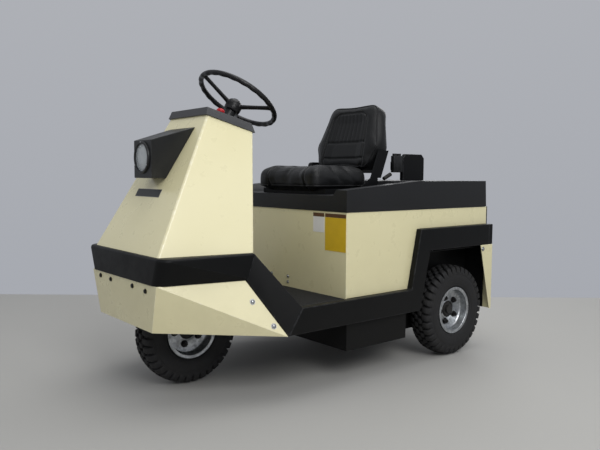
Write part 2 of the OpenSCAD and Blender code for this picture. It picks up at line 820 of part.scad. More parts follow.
// Steering wheel: round grip, spokes, hub and the shaft that turns in the column
module steering_wheel() {
    reach = steering_r - grip_d / 4;
    root_z = -hub_drop - hub_h / 2 - spoke_t / 2;
    rise = atan(-(root_z + spoke_t / 2) / reach);
    foot_z = -hub_drop - hub_h;
    color(black) placed() on_column() {
        rotate_extrude() translate([steering_r, 0]) circle(d = grip_d);
        rotate_extrude() polygon([
            [0, foot_z - shaft_l], [shaft_d / 2, foot_z - shaft_l], [shaft_d / 2, foot_z],
            [hub_d / 2, foot_z], [hub_d / 2, -hub_drop - hub_edge], [hub_d / 2 - hub_edge, -hub_drop],
            [0, -hub_drop]]);
        for (angle = spoke_angles) rotate([0, 0, angle])
            translate([hub_d / 4, 0, root_z]) rotate([0, -rise, 0])
                translate([0, -spoke_w / 2, 0]) cube([(reach - hub_d / 4) / cos(rise), spoke_w, spoke_t]);
    }
}

// One-armed fork: king pin, crown over the tyre, arm on the right and the stub axle
module front_fork() {
    arm_y = -tyre_w / 2 - wheel_gap * 2;
    drum_y = -disc_t / 2 - drum_l;
    color(dark_steel) placed() translate([wheelbase, 0, 0]) {
        translate([0, 0, crown_z]) cylinder(d = king_d, h = head_plate_z + head_plate_t + head_h - crown_z);
        translate([-arm_w / 2, arm_y - arm_t, crown_z]) cube([arm_w, arm_t - arm_y, crown_t]);
        translate([0, 0, crown_z]) cylinder(d = arm_w, h = crown_t);
        translate([-arm_w / 2, arm_y - arm_t, axle_z]) cube([arm_w, arm_t, crown_z - axle_z]);
        translate([0, 0, axle_z]) {
            rod_y(arm_w, arm_y - arm_t, arm_y);
            rod_y(axle_d, arm_y - arm_t / 2, drum_y - wheel_gap);
            rod_y(spindle_d, arm_y, spindle_out);
        }
    }
}

// Rim, wheel disc with nuts, and the hub and brake drum behind it. The wheel faces +y, centre at zero
module rim() {
    flange_r = flange_od / 2;
    bead_r = bead_d / 2;
    half = rim_w / 2;
    color(silver) rotate([-90, 0, 0]) rotate_extrude() polygon([
        [bead_r - rim_t, -half], [flange_r, -half], [flange_r, rim_t - half], [bead_r, rim_t - half],
        [bead_r, half - rim_t], [flange_r, half - rim_t], [flange_r, half], [bead_r - rim_t, half],
        [bead_r - rim_t, disc_t / 2], [hub_hole_d / 2, disc_t / 2], [hub_hole_d / 2, hub_nose_l],
        [spindle_d / 2 + bore_gap, hub_nose_l], [spindle_d / 2 + bore_gap, -disc_t / 2 - drum_l],
        [drum_d / 2, -disc_t / 2 - drum_l], [drum_d / 2, -disc_t / 2], [bead_r - rim_t, -disc_t / 2]]);
    color(silver) for (i = [0 : nut_count - 1]) rotate([0, i * 360 / nut_count, 0])
        translate([nut_pcd / 2, 0, 0]) rotate([-90, 0, 0])
            cylinder(d = nut_d, h = disc_t / 2 + nut_h, $fn = 6);
}

// Tyre with lugs on both shoulders, those of one side between those of the other, centre at zero, axis
// along y. Rings of corners run from each bead over the side wall and the shoulder to the crown.
module tyre() {
    pitch = 360 / lug_count;
    half = tyre_w / 2;
    seat = rim_w / 2 - rim_t - seat_gap;
    // Corners stand off the rim's round seat, so that the facets between them clear it
    bead_r = (bead_d / 2 + seat_gap) / cos(pitch / 2);
    flange_r = (flange_od / 2 + seat_gap) / cos(pitch / 2);
    shoulder_r = tyre_r - shoulder_drop;
    side_r = (flange_r + shoulder_r) / 2;
    edge_r = tyre_r - crown_drop;
    tread_half = half * tread_share;
    edge_y = tread_half * crown_edge_share;
    // Rings with three corners to each pitch: radius on a lug, radius in a groove, place across
    lug_rings = [
        [shoulder_r, shoulder_r - lug_h, tread_half], [edge_r, edge_r - lug_h, edge_y],
        [tyre_r, tyre_r, tread_half * crown_share]];
    function plain(r, y, turn) = [for (i = [0 : lug_count - 1]) let(a = (i + turn) * pitch)
        [r * sin(a), y, r * cos(a)]];
    function lugged(ring, side, turn) = [for (i = [0 : lug_count - 1], k = [0 : 2])
        let(a = (i + turn + lug_turn_shares[k]) * pitch, r = k < 2 ? ring[0] : ring[1])
        [r * sin(a), side * ring[2], r * cos(a)]];
    function half_points(side, turn) = concat(
        plain(bead_r, side * seat, 0), plain(flange_r, side * seat, 0), plain(side_r, side * half, turn),
        [for (ring = lug_rings) each lugged(ring, side, turn)]);
    // Triangles between two rings of equal count, and from a plain ring to a lugged one
    function strip(a, b, count) = [for (i = [0 : count - 1]) let(j = (i + 1) % count)
        each [[a + i, a + j, b + j], [a + i, b + j, b + i]]];
    function fan(a, b) = [for (i = [0 : lug_count - 1]) let(j = (i + 1) % lug_count, k = b + 3 * i)
        each [[a + i, k + 1, k], [a + i, k + 2, k + 1], [a + i, a + j, k + 2], [a + j, b + 3 * j, k + 2]]];
    // Number of the first corner in the plain rings, in the lugged rings and on the other side
    flange = lug_count;
    side = 2 * lug_count;
    shoulder = 3 * lug_count;
    edge = 6 * lug_count;
    crown = 9 * lug_count;
    other = 12 * lug_count;
    half_faces = concat(
        strip(0, flange, lug_count), strip(flange, side, lug_count), fan(side, shoulder),
        strip(shoulder, edge, 3 * lug_count), strip(edge, crown, 3 * lug_count));
    // Turned so that the edge of a lug stands on the floor
    color(rubber) polyhedron(
        points = concat(
            half_points(1, lug_turn_shares[1]), half_points(-1, lug_turn_shares[1] + stagger_share)),
        faces = concat(
            half_faces, [for (face = half_faces) [face[2] + other, face[1] + other, face[0] + other]],
            strip(crown, other + crown, 3 * lug_count), strip(other, 0, lug_count)));
}

// Puts a wheel at its place: x along the tractor, y across, facing left or right
module wheel_at(x, y, side) {
    placed() translate([x, y, axle_z]) on_side(side) children();
}

// Black lid over the battery box: a flat rear deck and a seat recess between rising side rims
module lid() {
    z0 = panel_top_z + seat_gap;
    x1 = lid_front_x + over;
    back_x = recess_back_x - lid_t;
    top_z = deck_z + over;
    profile = [
        [lid_front_x, z0], [lid_front_x, rim_front_z], [kink_x, deck_z],
        [lid_back_x + lid_draft, deck_z], [lid_back_x, z0]];
    color(black) placed() {
        difference() {
            across(-lid_half, lid_half) polygon(profile);
            // Seat recess with sloping cheeks, open at the front
            block8(
                [[recess_back_x, -recess_half, recess_z], [x1, -recess_half, recess_z],
                 [x1, recess_half, recess_z], [recess_back_x, recess_half, recess_z]],
                [[back_x, -rim_half, top_z], [x1, -rim_half, top_z],
                 [x1, rim_half, top_z], [back_x, rim_half, top_z]]);
            // Hollow under the deck and under the seat recess
            translate([lid_back_x + lid_draft + lid_t, -lid_half + lid_t, z0 - over]) cube([
                recess_back_x - lid_back_x - lid_draft - lid_web, 2 * (lid_half - lid_t),
                deck_z - z0 - lid_t + over]);
            translate([recess_back_x - lid_web, -lid_half + lid_t, z0 - over]) cube([
                lid_front_x - recess_back_x + lid_web - lid_t, 2 * (lid_half - lid_t),
                recess_z - z0 - lid_t + over]);
        }
        for (y = hinge_places) translate([hinge_x, 0, hinge_z]) {
            rod_y(hinge_d, y + seat_gap, y + hinge_knuckle_l);
            translate([0, y + seat_gap, 0])
                cube([lid_back_x - hinge_x + over, hinge_knuckle_l - seat_gap, hinge_d / 2]);
        }
    }
    color(dark_steel) placed() for (y = hinge_places) translate([hinge_x, 0, hinge_z])
        rod_y(hinge_pin_d - 2 * bore_gap, y - hinge_knuckle_l / 2 + seat_gap, y + hinge_knuckle_l / 2);
}

// Steel pan under the cushion with the side plates that carry the backrest, and the recline knob
module seat_frame() {
    inner = backrest_w / 2 + seat_gap;
    outer = inner + side_plate_t;
    front_x = seat_back_x + cushion_l - cushion_r;
    foot_z = recess_z + seat_gap;
    pan_top_z = cushion_z - seat_gap;
    color(black) placed() {
        translate([seat_back_x, -outer, foot_z]) cube([front_x - seat_back_x, 2 * outer, pan_top_z - foot_z]);
        // Side, height and set-back of each plate's top
        for (plate = [[1, left_plate_top_z, left_plate_back], [-1, right_plate_top_z, 0]])
            on_side(plate[0]) across(inner, outer) polygon([
                [seat_back_x, foot_z], [seat_back_x + side_plate_foot, foot_z],
                [seat_back_x + side_plate_foot, pan_top_z],
                [seat_back_x + side_plate_w / 2, side_plate_step_z],
                [seat_back_x + side_plate_w / 4 - plate[2], plate[1]],
                [seat_back_x - side_plate_w / 2 - plate[2], plate[1]],
                [seat_back_x - side_plate_w / 4, side_plate_step_z], [seat_back_x, side_plate_step_z]]);
        // Bar under the backrest
        on_backrest() translate([-backrest_edge - backrest_t / 3, -outer, -backrest_r - seat_gap - bar_t])
            cube([bar_w, 2 * outer, bar_t]);
        translate([knob_x, 0, knob_z]) rod_y(knob_d, -outer - knob_l, -outer);
    }
}

// Cushion, a plain rounded pad that widens to its front
module seat_cushion() {
    // Place along the cushion and half width of each pair of corners
    pairs = [[cushion_r, cushion_rear_w / 2], [cushion_l - cushion_r, cushion_w / 2]];
    color(rubber) placed() translate([seat_back_x + cushion_set, 0, cushion_z]) hull()
        for (pair = pairs, side = [1, -1]) translate([pair[0], side * (pair[1] - cushion_r), 0]) {
            cylinder(r = cushion_r, h = cushion_t - cushion_r, $fn = 32);
            translate([0, 0, cushion_t - cushion_r]) sphere(r = cushion_r, $fn = 32);
        }
}

// Frame of the backrest: z along its height, zero at the centre of its lower corners
module on_backrest() {
    translate([backrest_foot_x, 0, backrest_foot_z + backrest_r]) rotate([0, -backrest_lean, 0]) children();
}

// Backrest, a rounded pad that leans back and narrows to its top and its rear
module seat_back() {
    half = backrest_w / 2 - backrest_r;
    rise = backrest_h / cos(backrest_lean) - 2 * backrest_r;
    rear_r = backrest_r * rear_r_share;
    // Share of the height, then of the half width, of each pair of corners
    pair_shares = [[0, 0.82], [0.3, 1], [1, 0.74]];
    color(rubber) placed() on_backrest() hull() for (pair = pair_shares, side = [1, -1])
        translate([0, side * half * pair[1], rise * pair[0]]) rotate([0, -90, 0]) {
            cylinder(r1 = backrest_r - backrest_edge, r2 = backrest_r, h = backrest_edge, $fn = 32);
            translate([0, 0, backrest_edge]) cylinder(r = backrest_r, h = backrest_t / 3, $fn = 32);
            translate([0, 0, backrest_t * (1 - rear_step_share * pair[0]) - backrest_edge])
                cylinder(r1 = rear_r, r2 = rear_r - backrest_edge, h = backrest_edge, $fn = 32);
        }
}

// Folded bracket that stands on the rear deck
module plug_bracket() {
    x1 = bracket_x + bracket_l;
    z1 = deck_z + bracket_h;
    color(black) placed() across(bracket_y, bracket_y + bracket_w) polygon([
        [bracket_x, deck_z + seat_gap], [x1, deck_z + seat_gap], [x1, z1 - bracket_cut],
        [x1 - bracket_cut, z1], [bracket_x + bracket_cut, z1], [bracket_x, z1 - bracket_cut]]);
}

// Battery plug held on the front edge of its bracket
module battery_plug() {
    color(black) placed() translate([bracket_x + bracket_l + seat_gap, bracket_y, plug_z])
        cube([plug_l, bracket_w, plug_h]);
}

// Battery lead from the plug down to the deck
module plug_lead() {
    from = [bracket_x + bracket_l + plug_l - lead_set, bracket_y + bracket_w / 2, plug_z];
    to = [lead_foot_x, bracket_y + bracket_w / 2, deck_z];
    run = to - from;
    // Length lost at each end, so that the slanting end faces stay clear of plug and deck
    trim = (run[0] * lead_d / 2 + norm(run) * seat_gap) / -run[2];
    color(black) placed() translate(from) rotate([0, 180 - atan(run[0] / -run[2]), 0])
        translate([0, 0, trim]) cylinder(d = lead_d, h = norm(run) - 2 * trim);
}

front_bumper();
step_stringer(1);  // step_stringer_left
step_stringer(-1);  // step_stringer_right
side_frame(1);  // side_frame_left
side_frame(-1);  // side_frame_right
rear_bumper();
rear_skirt();
front_skirt();
head_plate();
toe_board();
floor_plate();
floor_mat();
cowl();
dash_cap();
stop_button();
lamp_box();
lamp_reflector();
lamp_lens();
pedals();
front_panel();
side_panel(1);  // side_panel_left
side_panel(-1);  // side_panel_right
rear_plate();
chassis_box();
wheel_wells();
battery_tray();
battery();
rear_axle();
drive_motor();
tow_hitch();
steering_head();
steering_column();
lid();
seat_frame();
seat_cushion();
seat_back();
plug_bracket();
battery_plug();
plug_lead();
steering_wheel();
front_fork();
wheel_at(wheelbase, 0, 1) rim();  // front_rim
wheel_at(wheelbase, 0, 1) tyre();  // front_tyre
wheel_at(0, track_half, 1) rim();  // rear_rim_left
wheel_at(0, track_half, 1) tyre();  // rear_tyre_left
wheel_at(0, -track_half, -1) rim();  // rear_rim_right
wheel_at(0, -track_half, -1) tyre();  // rear_tyre_right
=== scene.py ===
"""Visible pieces and finishes of a three-wheel electric tow tractor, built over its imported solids."""

import math
from functools import cache

import bmesh
import bpy
import numpy as np
from mathutils import Matrix, Vector
from mathutils.bvhtree import BVHTree


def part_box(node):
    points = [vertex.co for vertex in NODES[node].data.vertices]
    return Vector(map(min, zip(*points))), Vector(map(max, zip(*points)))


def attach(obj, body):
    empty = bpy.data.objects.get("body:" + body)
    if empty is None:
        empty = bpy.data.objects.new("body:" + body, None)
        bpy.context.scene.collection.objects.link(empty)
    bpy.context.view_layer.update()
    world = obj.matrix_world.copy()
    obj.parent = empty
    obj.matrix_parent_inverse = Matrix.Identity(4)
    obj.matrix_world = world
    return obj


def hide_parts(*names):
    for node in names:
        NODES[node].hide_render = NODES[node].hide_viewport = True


bl_info = {
    "name": "Tow tractor finish",
    "version": (1, 0, 0),
    "blender": (4, 5, 0),
    "location": "View3D > Sidebar > Tow tractor",
    "description": "Builds the visible pieces and finishes of a three-wheel electric tow tractor",
    "category": "Object",
}

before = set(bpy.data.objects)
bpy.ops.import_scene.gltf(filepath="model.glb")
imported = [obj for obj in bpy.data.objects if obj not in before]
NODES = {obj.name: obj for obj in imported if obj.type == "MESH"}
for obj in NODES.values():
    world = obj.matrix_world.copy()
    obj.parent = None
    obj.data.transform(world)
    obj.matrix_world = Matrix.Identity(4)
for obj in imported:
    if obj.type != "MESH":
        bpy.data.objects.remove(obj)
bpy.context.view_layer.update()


def middle(node):
    """Centre of a solid's box."""
    low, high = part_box(node)
    return (low + high) / 2


REAR_AXLE = middle("rear_tyre_left")


def place(x, y, z):
    """Point in metres from millimetres: x from the rear axle, y from the middle, z from the floor."""
    return Vector((REAR_AXLE.x + x / 1000, y / 1000, z / 1000))


def linear(code):
    """Linear colour from an sRGB hex value."""
    parts = [int(code[i : i + 2], 16) / 255 for i in (1, 3, 5)]
    return tuple(p / 12.92 if p <= 0.04045 else ((p + 0.055) / 1.055) ** 2.4 for p in parts) + (1.0,)


class TowTractorSizes(bpy.types.PropertyGroup):
    """Sizes that a user would change."""

    sheet_fold: bpy.props.FloatProperty(
        name="Sheet fold", description="Rounding of the cream panels' cut edges", default=0.0014,
        unit="LENGTH"
    )
    cowl_fold: bpy.props.FloatProperty(
        name="Cowl fold", description="Bend radius of the cowl's long folds", default=0.007, unit="LENGTH"
    )
    band_fold: bpy.props.FloatProperty(
        name="Band fold", description="Rounding of the black band's edges", default=0.004, unit="LENGTH"
    )
    lid_fold: bpy.props.FloatProperty(
        name="Lid fold", description="Rounding of the moulded lid's edges", default=0.009, unit="LENGTH"
    )
    lug_count: bpy.props.IntProperty(
        name="Lugs", description="Lugs in each row of a tyre", default=36, min=20, max=44
    )
    nut_count: bpy.props.IntProperty(name="Nuts", description="Nuts on each wheel", default=5, min=4, max=8)
    rib_step: bpy.props.FloatProperty(
        name="Rib spacing", description="Distance between the floor mat's ribs", default=0.014, unit="LENGTH"
    )
    stitch_step: bpy.props.FloatProperty(
        name="Stitch length", description="Distance between the seat's stitches", default=0.0085,
        unit="LENGTH"
    )


class TowTractorColours(bpy.types.PropertyGroup):
    """Colours that a user would change."""

    cream: bpy.props.FloatVectorProperty(
        name="Body", description="Enamel of the panels", size=4, subtype="COLOR", default=linear("#e4ddb4")
    )
    band: bpy.props.FloatVectorProperty(
        name="Band", description="Paint of the frame band", size=4, subtype="COLOR", default=linear("#0a0b0c")
    )
    lid: bpy.props.FloatVectorProperty(
        name="Lid", description="Moulded lid and housings", size=4, subtype="COLOR", default=linear("#141517")
    )
    plate: bpy.props.FloatVectorProperty(
        name="Plate", description="Blank plate on the front panel", size=4, subtype="COLOR",
        default=linear("#d9b41f")
    )


class TowTractorSettings(bpy.types.PropertyGroup):
    """Everything that the panel shows."""

    sizes: bpy.props.PointerProperty(type=TowTractorSizes)
    colours: bpy.props.PointerProperty(type=TowTractorColours)


def settings():
    """The scene's own settings."""
    return bpy.context.scene.tow_tractor


def add(tree, kind, feeds=None, **setup):
    """Add one node, set it up, and feed its inputs with values or with other nodes' sockets."""
    made = tree.nodes.new(kind)
    for key, value in setup.items():
        setattr(made, key, value)
    for key, value in (feeds or {}).items():
        if isinstance(value, bpy.types.NodeSocket):
            tree.links.new(value, made.inputs[key])
        else:
            made.inputs[key].default_value = value
    return made


def surface(name, **constant):
    """Material with a Principled shader and its constant inputs, and the place that patterns read."""
    material = bpy.data.materials.new(name)
    material.use_nodes = True
    tree = material.node_tree
    tree.nodes.clear()
    shader = add(tree, "ShaderNodeBsdfPrincipled", {k.replace("_", " "): v for k, v in constant.items()})
    add(tree, "ShaderNodeOutputMaterial", {"Surface": shader.outputs[0]})
    return material, tree, shader, add(tree, "ShaderNodeTexCoord").outputs["Object"]


def clouds(tree, where, size, colour, shade, detail, rough=0.5):
    """Share that drifts in clouds of the size given, and two colours mixed by it."""
    share = add(tree, "ShaderNodeTexNoise", {
        "Vector": where, "Scale": 1 / size, "Detail": detail, "Roughness": rough}).outputs["Fac"]
    tone = add(tree, "ShaderNodeMix", {0: share, 6: colour, 7: shade}, data_type="RGBA")
    return share, tone.outputs[2]


def rubbed(tree, where, colour, worn, length, detail, rough, limits):
    """Colour whose folds are rubbed through in spots of the length given."""
    fold = add(tree, "ShaderNodeAttribute", attribute_name="fold")
    spots = add(tree, "ShaderNodeTexNoise", {
        "Vector": where, "Scale": 1 / length, "Detail": detail, "Roughness": rough})
    share = add(tree, "ShaderNodeMapRange", {"Value": spots.outputs["Fac"], **dict(enumerate(limits, 1))})
    wear = add(tree, "ShaderNodeMath", {0: fold.outputs["Fac"], 1: share.outputs[0]}, operation="MULTIPLY")
    return add(tree, "ShaderNodeMix", {0: wear.outputs[0], 6: colour, 7: worn}, data_type="RGBA").outputs[2]


def feed(material, shader, colour, polish=None, relief=None):
    """Feed a shader: colour, polish (share and two roughnesses), relief (height, strength and depth)."""
    tree = material.node_tree
    tree.links.new(colour, shader.inputs["Base Color"])
    if polish:
        share, low, high = polish
        matt = add(tree, "ShaderNodeMapRange", {"Value": share, 1: 0.3, 2: 0.7, 3: low, 4: high})
        tree.links.new(matt.outputs[0], shader.inputs["Roughness"])
    if relief:
        height, strength, depth = relief
        skin = add(tree, "ShaderNodeBump", {"Height": height, "Strength": strength, "Distance": depth})
        tree.links.new(skin.outputs[0], shader.inputs["Normal"])
    return material


def painted(name, colour, shade, worn, dust, rough, grain, depth, coating, gloss):
    """Sprayed paint: slow drift of tone, dust near the floor, wear on folds, and an orange-peel skin."""
    material, tree, shader, where = surface(
        name, Coat_Weight=coating, Coat_Roughness=0.16, Specular_IOR_Level=gloss)
    tone = clouds(tree, where, 0.28, colour, shade, 4.0)[1]
    # Dust lies lowest and in patches a hand wide
    height = add(tree, "ShaderNodeSeparateXYZ", {0: where}).outputs["Z"]
    low = add(tree, "ShaderNodeMapRange", {"Value": height, 1: 0.12, 2: 0.62, 3: 0.55, 4: 0.0})
    patch = add(tree, "ShaderNodeTexNoise", {
        "Vector": where, "Scale": 1 / 0.07, "Detail": 6.0, "Roughness": 0.65}).outputs["Fac"]
    dusty = add(tree, "ShaderNodeMath", {0: low.outputs[0], 1: patch}, operation="MULTIPLY")
    soiled = add(tree, "ShaderNodeMix", {0: dusty.outputs[0], 6: tone, 7: dust}, data_type="RGBA")
    # Folds are rubbed in spots some 15 mm long
    final = rubbed(tree, where, soiled.outputs[2], worn, 0.015, 7.0, 0.7, (0.46, 0.68, 0.08, 0.75))
    peel = add(tree, "ShaderNodeTexNoise", {"Vector": where, "Scale": 1 / grain, "Detail": 2.0})
    polish = (patch, rough - 0.06, rough + 0.08)
    return feed(material, shader, final, polish, (peel.outputs["Fac"], 0.25, depth))


def moulded(name, colour, shade, rough, cell, depth):
    """Moulded plastic or rubber: pebbled skin of cells, broad cloudiness and scuffs."""
    material, tree, shader, where = surface(name, Specular_IOR_Level=0.35)
    share, tone = clouds(tree, where, 0.12, colour, shade, 5.0, 0.6)
    final = rubbed(tree, where, tone, linear("#4b4c4d"), 0.02, 6.0, 0.5, (0.42, 0.7, 0.05, 0.4))
    pebble = add(tree, "ShaderNodeTexVoronoi", {"Vector": where, "Scale": 1 / cell, "Randomness": 0.9})
    polish = (share, rough - 0.07, rough + 0.07)
    return feed(material, shader, final, polish, (pebble.outputs["Distance"], 0.35, depth))


def metal(name, colour, shade, low, high, grain):
    """Bare or plated metal: slight drift of tone and polish."""
    material, tree, shader, where = surface(name, Metallic=1.0)
    share, tone = clouds(tree, where, grain, colour, shade, 4.0)
    return feed(material, shader, tone, (share, low, high))


def printed(name, colour, shade, rough):
    """Printed or dyed in one flat colour, faded in clouds."""
    material, tree, shader, where = surface(name, Roughness=rough)
    return feed(material, shader, clouds(tree, where, 0.03, colour, shade, 3.0)[1])


def tyre_compound(name, colour, dust):
    """Black rubber: matt, with pale dust held in patches and a fine cast skin."""
    material, tree, shader, where = surface(name)
    cloud = add(tree, "ShaderNodeTexNoise", {
        "Vector": where, "Scale": 1 / 0.05, "Detail": 8.0, "Roughness": 0.7}).outputs["Fac"]
    share = add(tree, "ShaderNodeMapRange", {"Value": cloud, 1: 0.42, 2: 0.75, 3: 0.0, 4: 0.5})
    tone = add(tree, "ShaderNodeMix", {0: share.outputs[0], 6: colour, 7: dust}, data_type="RGBA")
    cast = add(tree, "ShaderNodeTexNoise", {"Vector": where, "Scale": 1 / 0.003, "Detail": 3.0})
    return feed(material, shader, tone.outputs[2], (cloud, 0.62, 0.9), (cast.outputs["Fac"], 0.3, 0.0006))


def leathery(name, colour, shade):
    """Embossed sheet: grain of cells with creases between them, soft sheen, paler in patches."""
    material, tree, shader, where = surface(
        name, Sheen_Weight=0.03, Sheen_Roughness=0.4, Specular_IOR_Level=0.28)
    share, tone = clouds(tree, where, 0.09, colour, shade, 5.0, 0.6)
    cells = add(
        tree, "ShaderNodeTexVoronoi", {"Vector": where, "Scale": 1 / 0.003}, feature="DISTANCE_TO_EDGE")
    crease = add(tree, "ShaderNodeMapRange", {"Value": cells.outputs["Distance"], 1: 0.0, 2: 0.16})
    return feed(material, shader, tone, (share, 0.36, 0.52), (crease.outputs[0], 0.3, 0.0004))


def spangled(name, colour, shade, stained):
    """Dipped metal: bright flakes, dulled in patches."""
    material, tree, shader, where = surface(name, Metallic=1.0)
    flakes = add(tree, "ShaderNodeTexVoronoi", {"Vector": where, "Scale": 1 / 0.009})
    grey = add(tree, "ShaderNodeSeparateColor", {0: flakes.outputs["Color"]}).outputs[0]
    tone = add(tree, "ShaderNodeMix", {0: grey, 6: colour, 7: shade}, data_type="RGBA")
    dull = add(tree, "ShaderNodeTexNoise", {"Vector": where, "Scale": 1 / 0.03, "Detail": 5.0}).outputs["Fac"]
    stain = add(tree, "ShaderNodeMapRange", {"Value": dull, 1: 0.5, 2: 0.75, 3: 0.0, 4: 0.45})
    final = add(
        tree, "ShaderNodeMix", {0: stain.outputs[0], 6: tone.outputs[2], 7: stained}, data_type="RGBA")
    return feed(material, shader, final.outputs[2], (dull, 0.28, 0.5))


def fluted(name, colour, shade):
    """Frosted glass with upright flutes 8 mm apart. One wave is 2 pi over 20 times the scale long."""
    material, tree, shader, where = surface(name, Transmission_Weight=0.62, IOR=1.5, Roughness=0.18)
    tone = clouds(tree, where, 0.02, colour, shade, 2.0)[1]
    scale = 2 * math.pi / (20 * 0.008)
    flutes = add(tree, "ShaderNodeTexWave", {"Vector": where, "Scale": scale}, bands_direction="Y")
    return feed(material, shader, tone, relief=(flutes.outputs["Fac"], 0.5, 0.0012))


# Finishes by their real materials: a maker and what it takes. A colour is a hex value or the name of one of
# the settings' colours, and a length is in metres.
FINISHES = {
    # Two-pack enamel on sheet steel: soft gloss, orange peel 5 mm across, faint dust low down
    "cream_enamel": (painted, "cream", "#dcd4a8", "#f1ecd4", "#b3aa89", 0.3, 0.005, 0.0005, 0.5, 0.5),
    # Satin black paint on box section: rubbed grey on its edges, grain drawn 3 mm wide to show
    "black_chassis_paint": (painted, "band", "#0f1011", "#37383a", "#201e1b", 0.42, 0.003, 0.0006, 0.0, 0.14),
    # Sprayed cast steel of the axle, fork and hitch: dull, with dust in patches
    "painted_cast_steel": (
        painted, "#1b1c1d", "#262728", "#565655", "#39352e", 0.55, 0.006, 0.0012, 0.0, 0.35),
    # Rotation-moulded lid: low sheen, leather pebble drawn 4 mm wide to show
    "moulded_polyethylene": (moulded, "lid", "#1b1c1e", 0.46, 0.004, 0.0005),
    # Injection-moulded lamp housing and plug: fine pebble, a little glossier than the lid
    "moulded_abs": (moulded, "#141516", "#1c1d1e", 0.4, 0.0025, 0.0003),
    # Vacuum-formed cap of the cowl: charcoal, with a soft sheen along its edges
    "formed_abs": (moulded, "#343537", "#404143", 0.36, 0.003, 0.0003),
    # Steering wheel: near smooth, hand-polished
    "moulded_polyurethane": (moulded, "#0f0f10", "#161618", 0.36, 0.003, 0.0002),
    # Stop button: saturated, half gloss
    "moulded_red_nylon": (moulded, "#a3141b", "#b5222a", 0.34, 0.003, 0.0001),
    # Vulcanised floor mat: dull, greyed by boots
    "floor_rubber": (moulded, "#171818", "#2b2a28", 0.8, 0.005, 0.0004),
    # Battery case: mid grey and dull
    "moulded_polypropylene": (moulded, "#565a5d", "#676a6c", 0.55, 0.004, 0.0003),
    # Vent plugs of the battery's cells: off-white, half matt
    "moulded_vent_plug": (moulded, "#bdbbb0", "#cfcdc4", 0.5, 0.003, 0.0002),
    # Carbon-black tyres: matt, greyed by dust
    "tyre_rubber": (tyre_compound, "#0f0f11", "#2b2926"),
    # Vinyl over foam: leather grain drawn 3 mm wide to show, soft sheen
    "embossed_vinyl": (leathery, "#0c0d0e", "#151617"),
    # Bonded thread, a little paler than the vinyl
    "nylon_thread": (printed, "#2c2d2e", "#3a3b3c", 0.6),
    # Hot-dip zinc on pressed steel: spangle 9 mm across, dulled in patches
    "galvanised_steel": (spangled, "#9ea1a4", "#c5c8ca", "#75736e"),
    # Bolts and screws: pale, satin
    "zinc_plated_steel": (metal, "#b9bbbd", "#8d8f91", 0.25, 0.42, 0.006),
    # Blackened nuts and bolts: dark and oily
    "black_oxide_steel": (metal, "#2c2c2d", "#3d3c3a", 0.35, 0.55, 0.006),
    # Links of the battery: blue-grey and soft, dulled by oxide
    "cast_lead": (metal, "#5f6367", "#7b7f83", 0.42, 0.62, 0.02),
    # Headlamp bowl: near mirror with a slight haze
    "metallised_reflector": (metal, "#e4e6e8", "#cfd2d5", 0.06, 0.16, 0.02),
    # Headlamp glass, frosted by age so that it looks pale
    "pressed_glass": (fluted, "#f2f5f6", "#e2e8ea"),
    # Faded foils of the blank plates: yellow, a little grey white, and their dark heads
    "yellow_foil": (printed, "plate", "#c9a51c", 0.45),
    "white_foil": (printed, "#e9e7e2", "#d9d8d4", 0.4),
    "brown_foil": (printed, "#4d3017", "#5c3c1f", 0.45),
    # Dark nameplate without any marking
    "dark_anodised_plate": (printed, "#191b1c", "#262829", 0.45),
}


@cache
def finish(name):
    """The material of a name, made once."""
    maker, *values = FINISHES[name]
    for i, value in enumerate(values):
        if isinstance(value, str):
            values[i] = linear(value) if value[0] == "#" else getattr(settings().colours, value)
    return maker(name, *values)


def mesh_from(work, name, angle=None):
    """Mesh from a bmesh, smooth up to the angle given, or else shaded as its parts were."""
    mesh = bpy.data.meshes.new(name)
    work.to_mesh(mesh)
    work.free()
    if angle:
        mesh.shade_smooth()
        mesh.set_sharp_from_angle(angle=math.radians(angle))
    return mesh


def coat(mesh, material):
    """Give a mesh one finish."""
    mesh.materials.clear()
    mesh.materials.append(finish(material))


def show(name, mesh):
    """Object in the scene for a mesh that already lies in place."""
    piece = bpy.data.objects.new(name, mesh)
    bpy.context.scene.collection.objects.link(piece)
    return piece


def hand_over(piece, body, replaces=()):
    """Say which body carries a piece and which solids it stands for."""
    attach(piece, body)
    if replaces:
        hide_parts(*replaces)
    return piece


def new_piece(name, work, angle, body, material, replaces=()):
    """Piece from a bmesh that already lies in place, smooth up to an angle, riding on a body."""
    piece = show(name, mesh_from(work, name, angle))
    coat(piece.data, material)
    return hand_over(piece, body, replaces)


def settle(piece):
    """Turn a piece's modifiers into its plain mesh."""
    graph = bpy.context.evaluated_depsgraph_get()
    graph.update()
    mesh = bpy.data.meshes.new_from_object(
        piece.evaluated_get(graph), preserve_all_data_layers=True, depsgraph=graph)
    piece.modifiers.clear()
    old, piece.data = piece.data, mesh
    bpy.data.meshes.remove(old)
    return piece


def bevel(work, edges, radius, steps):
    """Round edges off. Gives the new faces."""
    return bmesh.ops.bevel(
        work, geom=edges, offset=radius, offset_type="OFFSET", segments=steps, profile=0.5, affect="EDGES",
        clamp_overlap=True)["faces"]


# Points closer than this are one, faces flatter than this are one, and edges sharper than this are folds
MERGE, FLAT, SHARP = 2e-5, math.radians(0.6), math.radians(22)


def any_edge(edge):
    """Every sharp edge."""
    return True


